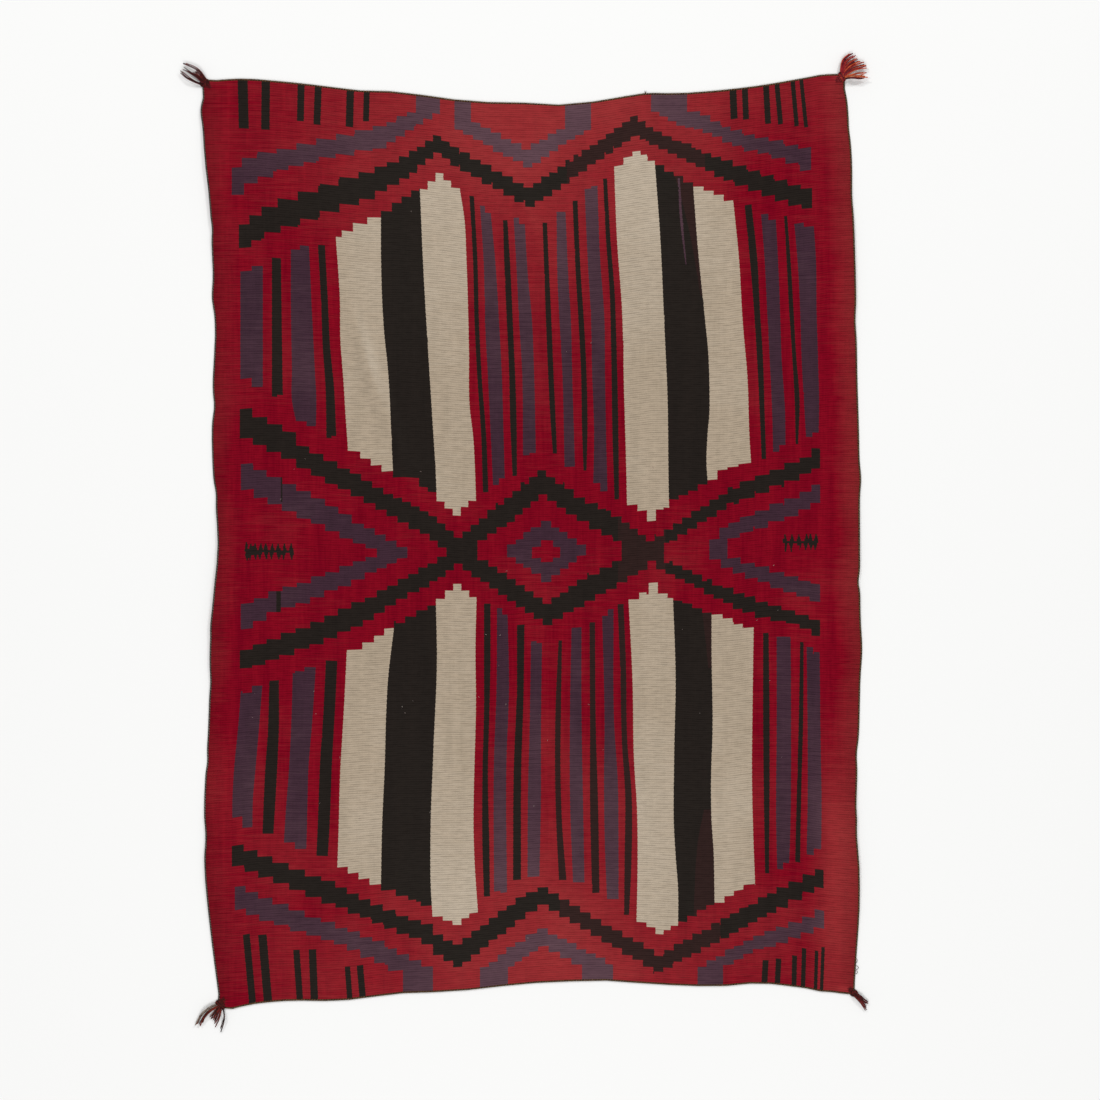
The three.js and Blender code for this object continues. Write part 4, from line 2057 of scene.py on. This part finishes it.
TASSELS = (
    TasselSize(
        "top_left",
        (-640, 917),
        138,
        (8, 10.5, 9),
        1.5,
        (
            Lock(3, -6.5, 144, 3, 60, -6, (0, 1, 0), 7),
            Lock(7, -2.0, 137, 14, 30, -1, (2, 0, 1), 4),
            Lock(3, 2.5, 144, 4, 50, -2, (1, 0), 6),
            Lock(3, 7, 149, 6, 50, 3, (0, 1), 8),
        ),
    ),
    TasselSize(
        "top_right",
        (634, 929),
        38,
        (8.5, 11, 12),
        1.85,
        (
            Lock(3, -7.5, 1, 4, 38, 0, (1, 1, 0), 14),
            Lock(5, -5, 8, 9, 45, 0, (2, 3, 2), 14),
            Lock(7, 0, 29, 12, 50, 4, (2, 0, 2, 1), 9),
            Lock(5, 2, 41, 9, 46, 5, (0, 2, 1), 7),
            Lock(7, 6.5, 57, 14, 47, 6, (1, 0, 2, 0), 6),
        ),
    ),
    TasselSize(
        "bottom_left",
        (-609, -926),
        238,
        (8.5, 12, 10),
        1.6,
        (
            Lock(7, -6, 224, -6, 60, -7, (3, 3, 1, 0, 1), 6),
            Lock(6, -3, 227, -3, 55, -5, (0, 1), 5),
            Lock(6, 1.5, 240, 15, 34, 0, (1, 0, 2)),
            Lock(2, 5.5, 250, 6, 42, 2, (1,)),
            Lock(2, 9.5, 261, 4, 48, 5, (0,)),
        ),
    ),
    TasselSize(
        "bottom_right",
        (658, -903),
        312,
        (7.5, 8.5, 8),
        1.4,
        (Lock(5, -2.0, 311, 4, 40, 2, (0, 2, 0), 4), Lock(5, 2.5, 319, 4, 32, 1, (0, 1, 2), 5)),
    ),
)


@dataclass
class CornerTassel:
    """A wrapped knot on the rug's corner with the loose ends of its edge cords. Sizes in mm."""

    size: TasselSize
    rng: random.Random
    wrap: Twine = Twine(1.35, 2, 5.0, 5, 5)
    wraps: int = 7
    thread: Twine = Twine(0.75, 2, 4.0, 4, 4)
    stitches: int = 7
    strand_pitch: float = 6.5
    strand_taper: float = 0.7
    strand_points: int = 15

    def __post_init__(self) -> None:
        """Works out which way is ahead and which aside."""
        self.middle = np.array(self.size.corner, float)
        self.ahead, self.aside = self._axes(math.radians(self.size.direction))

    @staticmethod
    def _axes(turn: float) -> tuple[np.ndarray, np.ndarray]:
        """The way ahead at an angle, and the way to its left."""
        return np.array([math.cos(turn), math.sin(turn)]), np.array([-math.sin(turn), math.cos(turn)])

    def build(self, materials: list[bpy.types.Material]) -> bpy.types.Object:
        """Makes the knot's wraps, its stitches and every strand as one piece.

        Args:
            materials: The tassel's wools, in the order of the locks' numbers.

        Returns:
            The tassel.
        """
        maker = MeshMaker("tassel_" + self.size.name)
        self._knot(maker)
        self._stitch(maker)
        for lock in self.size.locks:
            for n in range(lock.strands):
                self._strand(maker, lock, n)
        return maker.build(materials)

    def _knot(self, maker: MeshMaker) -> None:
        """Yarn wound over a small dome.

        Args:
            maker: Where the faces go.
        """
        half_length, half_width, height = self.size.knot
        arc = 12
        for n in range(self.wraps):
            place = (n / (self.wraps - 1) * 2 - 1) * 0.85
            girth = math.sqrt(1 - place * place * 0.8)
            points = []
            for k in range(arc + 1):
                angle = math.pi * k / arc
                across = math.cos(angle) * (half_width - 1.4) * girth
                slant = 1.1 * math.cos(angle) + self.rng.uniform(-0.15, 0.15)
                rise = 1.5 + math.sin(angle) * (height - 3.1) * girth
                plan = self.middle + self.ahead * (place * (half_length - 1.2) + slant) + self.aside * across
                points.append((plan[0], plan[1], rise))
            self.wrap.lay(maker, points, 1.0, self.rng.random(), (n % 2, (n + 1) % 3))

    def _stitch(self, maker: MeshMaker) -> None:
        """Cord ends stitched flat into the cloth's corner, behind the knot.

        Args:
            maker: Where the faces go.
        """
        for n in range(self.stitches):
            back = -self.size.knot[0] * 0.7 - 1.5 * n
            half = 7.0 - 0.65 * n
            points = []
            for k in range(7):
                t = k / 3 - 1
                plan = self.middle + self.ahead * (back + 1.8 * t * (-1) ** n) + self.aside * (half * t)
                points.append((plan[0], plan[1], 2.9 + 0.9 * (1 - t * t)))
            self.thread.lay(maker, points, 0.8, self.rng.random(), (n % 2,))

    def _strand(self, maker: MeshMaker, lock: Lock, n: int) -> None:
        """One loose strand from the knot down to the floor and out along it.

        Args:
            maker: Where the faces go.
            lock: The lock that it belongs to.
            n: Its number in the lock.
        """
        radius = self.size.strand
        share = (n + 0.5) / lock.strands - 0.5
        root = self.middle + self.aside * (lock.root + share * lock.strands * 0.9)
        root = root + self.ahead * (self.size.knot[0] * 0.3)
        way = math.radians(lock.direction + share * lock.fan * 1.3 + self.rng.uniform(-1.5, 1.5))
        ahead, aside = self._axes(way)
        length = lock.length * self.rng.uniform(0.84, 1.0)
        sway = self.rng.uniform(-1.2, 1.2)
        layer = n % 2 * radius * 1.2
        points = []
        for k in range(self.strand_points):
            t = k / (self.strand_points - 1)
            bend = lock.bow * math.sin(math.pi * t) + sway * math.sin(2.4 * math.pi * t) * t
            plan = root + ahead * length * t + aside * bend
            drop = self.size.knot[2] * 0.55 * (1 - min(1.0, t / 0.9) ** 1.6) ** 1.5
            drop += lock.stand * math.sin(math.pi / 2 * min(1.0, t / 0.6)) * (1 - 0.3 * t)
            points.append((plan[0], plan[1], radius * 1.1 + 0.15 + drop + layer * (1 - t)))
        wool = lock.wool[n % len(lock.wool)]
        yarn = Twine(radius, 2, self.strand_pitch, 4, 5)
        yarn.lay(maker, points, self.strand_taper, self.rng.random(), (wool,))


@dataclass
class LooseWool:
    """Specks of lint on the face and short yarn ends that have worked loose. Sizes in mm."""

    shape: ClothShape
    rng: random.Random
    specks: int = 46
    loop_sizes: tuple[tuple[float, float, float], ...] = ((-838, 2.5, 4), (-852, 5.5, 4), (-861, 4.5, 3))
    tuft: tuple[float, float] = (241.0, 895.0)

    def lint(self, materials: list[bpy.types.Material]) -> bpy.types.Object:
        """Pale flecks and short fibres, most of them on the lower half.

        Args:
            materials: The lint's own.

        Returns:
            All of it as one piece.
        """
        maker = MeshMaker("lint")
        for _ in range(self.specks):
            x = self.rng.uniform(-560, 590)
            y = self.rng.triangular(-860, 860, -300)
            self._fibre(maker, x, y, self.rng.uniform(1.2, 4.0), self.rng.uniform(0.18, 0.34))
        return maker.build(materials)

    def _fibre(self, maker: MeshMaker, x: float, y: float, length: float, radius: float) -> None:
        """One short bowed fibre that lies on the ribs.

        Args:
            maker: Where the faces go.
            x: Its middle across the rug.
            y: Its middle up the rug.
            length: Its length.
            radius: Its radius.
        """
        way = self.rng.uniform(0, math.tau)
        bow = self.rng.uniform(-0.5, 0.5)
        points = []
        for k in range(5):
            t = k / 4 - 0.5
            px = x + math.cos(way) * length * t - math.sin(way) * bow * length * (t * t)
            py = y + math.sin(way) * length * t + math.cos(way) * bow * length * (t * t)
            at = np.array([px]), np.array([py])
            lie = float((self.shape.lift(*at) + self.shape.cockle(*at))[0])
            points.append((px, py, lie + WEAVE.face + WEAVE.rib_rise + radius * 0.7))
        Twine(radius, 1, 3.0, 4, 4).lay(maker, points, 0.7)

    def loops(self, materials: list[bpy.types.Material]) -> bpy.types.Object:
        """Small slack loops of cord at the right edge and one tuft at the top.

        Args:
            materials: The cord's wool.

        Returns:
            The loops and the tuft as one piece.
        """
        maker = MeshMaker("loose_loops")
        side = self.shape.sides[Side.RIGHT]
        for y, reach, half in self.loop_sizes:
            edge = float(np.interp(y, side[:, 1], side[:, 0]))
            lift = float(self.shape.lift(np.array([edge]), np.array([float(y)]))[0])
            angles = [math.pi * (k / 8 - 0.5) for k in range(9)]
            points = [(edge + 2.5 + reach * math.cos(a), y + half * math.sin(a), lift + 2.2) for a in angles]
            Twine(0.55, 2, 3.0, 4, 4).lay(maker, points)
        for lean in (-1.5, 1.75):
            points = [(self.tuft[0] + lean * t, self.tuft[1] + 6.0 * t, 2.4) for t in (0.0, 0.3, 0.6, 1.0)]
            Twine(0.8, 2, 3.0, 4, 4).lay(maker, points, 0.6)
        return maker.build(materials)


@dataclass(frozen=True)
class Lamp:
    """A square soft lamp that looks at the rug's middle. Metres and watts."""

    name: str
    place: tuple[float, float, float]
    size: float
    power: float

    def build(self) -> None:
        """Hangs the lamp."""
        lamp = bpy.data.lights.new(self.name, "AREA")
        lamp.size = self.size
        lamp.energy = self.power
        made = bpy.data.objects.new(self.name, lamp)
        made.location = self.place
        made.rotation_euler = (-Vector(self.place)).to_track_quat("-Z", "Y").to_euler()
        bpy.context.scene.collection.objects.link(made)


@dataclass(frozen=True)
class Studio:
    """Floor, soft lights and the camera straight above, as the rug was photographed. In metres."""

    lamps: tuple[Lamp, ...] = (
        Lamp("left lamp", (-3.2, 4.6, 5.4), 1.0, 146),
        Lamp("right lamp", (3.2, 4.6, 5.4), 1.0, 146),
        Lamp("foot fill", (0.0, -4.0, 6.0), 3.0, 205),
    )
    floor_half: float = 9.0
    room_light: float = 0.42
    frame_width: float = 2.2  # of floor that the picture shows
    centre: tuple[float, float] = (0.0503, -0.0168)
    lens: float = 85.0  # mm
    sensor: float = 36.0  # mm

    def build(self) -> None:
        """Makes everything that isn't the rug."""
        self._floor()
        for lamp in self.lamps:
            lamp.build()
        self._room()
        self._camera()

    def _floor(self) -> None:
        """The pale seamless paper under the rug."""
        half = self.floor_half / MM
        maker = MeshMaker("floor")
        maker.add([(-half, -half, 0), (half, -half, 0), (half, half, 0), (-half, half, 0)])
        maker.faces.append((0, 1, 2, 3))
        maker.build([paper()], False)

    def _room(self) -> None:
        """Even white light from all round, and a view transform that keeps the dyes' own colours."""
        world = bpy.data.worlds.new("soft room")
        world.use_nodes = True
        back = world.node_tree.nodes["Background"]
        back.inputs[0].default_value = (1.0, 1.0, 1.0, 1.0)
        back.inputs[1].default_value = self.room_light
        bpy.context.scene.world = world
        bpy.context.scene.view_settings.view_transform = "Standard"

    def _camera(self) -> None:
        """The camera, so high that the picture is as wide as the frame."""
        camera = bpy.data.cameras.new("camera")
        camera.lens = self.lens
        camera.sensor_width = self.sensor
        made = bpy.data.objects.new("camera", camera)
        made.location = (*self.centre, self.frame_width * self.lens / self.sensor)
        bpy.context.scene.collection.objects.link(made)
        bpy.context.scene.camera = made


def keep(piece: bpy.types.Object, node: str) -> bpy.types.Object:
    """Lets a piece stand for its CAD node.

    Args:
        piece: The finished piece.
        node: The node that it replaces.

    Returns:
        The same piece.
    """
    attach(piece, "root")
    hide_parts(node)
    return piece


def main() -> None:
    """Builds the rug on its frame, then the studio around it."""
    logging.basicConfig(level=logging.INFO, format="%(name)s: %(message)s")
    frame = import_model()
    rng = random.Random(41)
    shape = ClothShape(frame["nodes"]["woven_cloth"])

    wools = [WOOLS[yarn].material() for yarn in Yarn]
    # Edge cords: two dark plies and a paler one, which shows as a row of small beads.
    left_cord = YarnFinish("grey brown selvedge wool", "231F1D", "3D3834", 4.5).material()
    right_cord = YarnFinish("olive brown selvedge wool", "2E2119", "4C3B29", 4.5).material()
    ash = YarnFinish("ash grey selvedge wool", "5E564F", "8C8379", 4).material()
    olive = YarnFinish("pale olive selvedge wool", "5A4730", "7C6546", 4).material()
    end_cord = YarnFinish("end cord wool", "33231A", "553B28", 12).material()
    # Tassel ends: mixed cord wools, felted dark at the knots and bleached where the strands end.
    wine = YarnFinish("wine red tassel wool", "3A1318", "6B1F26", 7).material()
    dark = YarnFinish("dark brown tassel wool", "211513", "45261F", 8).material()
    brown = YarnFinish("red brown tassel wool", "4A1F19", "7A2E24", 7).material()
    grey = YarnFinish("grey fleece tassel wool", "6E625A", "A3968A", 6).material()
    crimson = YarnFinish("crimson tassel wool", "6E1420", "9C2A30", 8).material()
    plum = YarnFinish("plum tassel wool", "36161C", "6A2A30", 8).material()
    orange = YarnFinish("orange red tassel wool", "A3381F", "CC5E38", 9).material()
    straw = YarnFinish("faded orange tassel wool", "9A4A32", "C98A66", 8).material()
    fluff = YarnFinish("pale lint", "A08A84", "C9BDB4", 3).material()

    cloth = keep(WovenCloth(shape, WeaversChart(), rng).build(wools), "woven_cloth")
    LOG.info("%s: %d faces", cloth.name, len(cloth.data.polygons))

    trim = []
    plies = {
        Side.LEFT: [left_cord, ash],
        Side.RIGHT: [right_cord, olive],
        Side.BOTTOM: [end_cord, olive],
        Side.TOP: [end_cord, olive],
    }
    for side, pair in plies.items():
        trim.append(keep(EdgeCord(shape, side).build(pair), side.value + "_edge_cord"))
    mixes = (
        [wine, dark, brown],
        [crimson, plum, orange, straw],
        [dark, brown, wine, grey],
        [wine, dark, brown],
    )
    for size, mix in zip(TASSELS, mixes):
        trim.append(keep(CornerTassel(size, rng).build(mix), "corner_tassel_" + size.name))

    loose = LooseWool(shape, rng)
    bits = [loose.lint([fluff]), loose.loops([right_cord])]
    for bit in bits:
        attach(bit, "root")
    for piece in trim + bits:
        LOG.info("%s: %d faces", piece.name, len(piece.data.polygons))

    Studio().build()


if __name__ == "__main__":
    main()
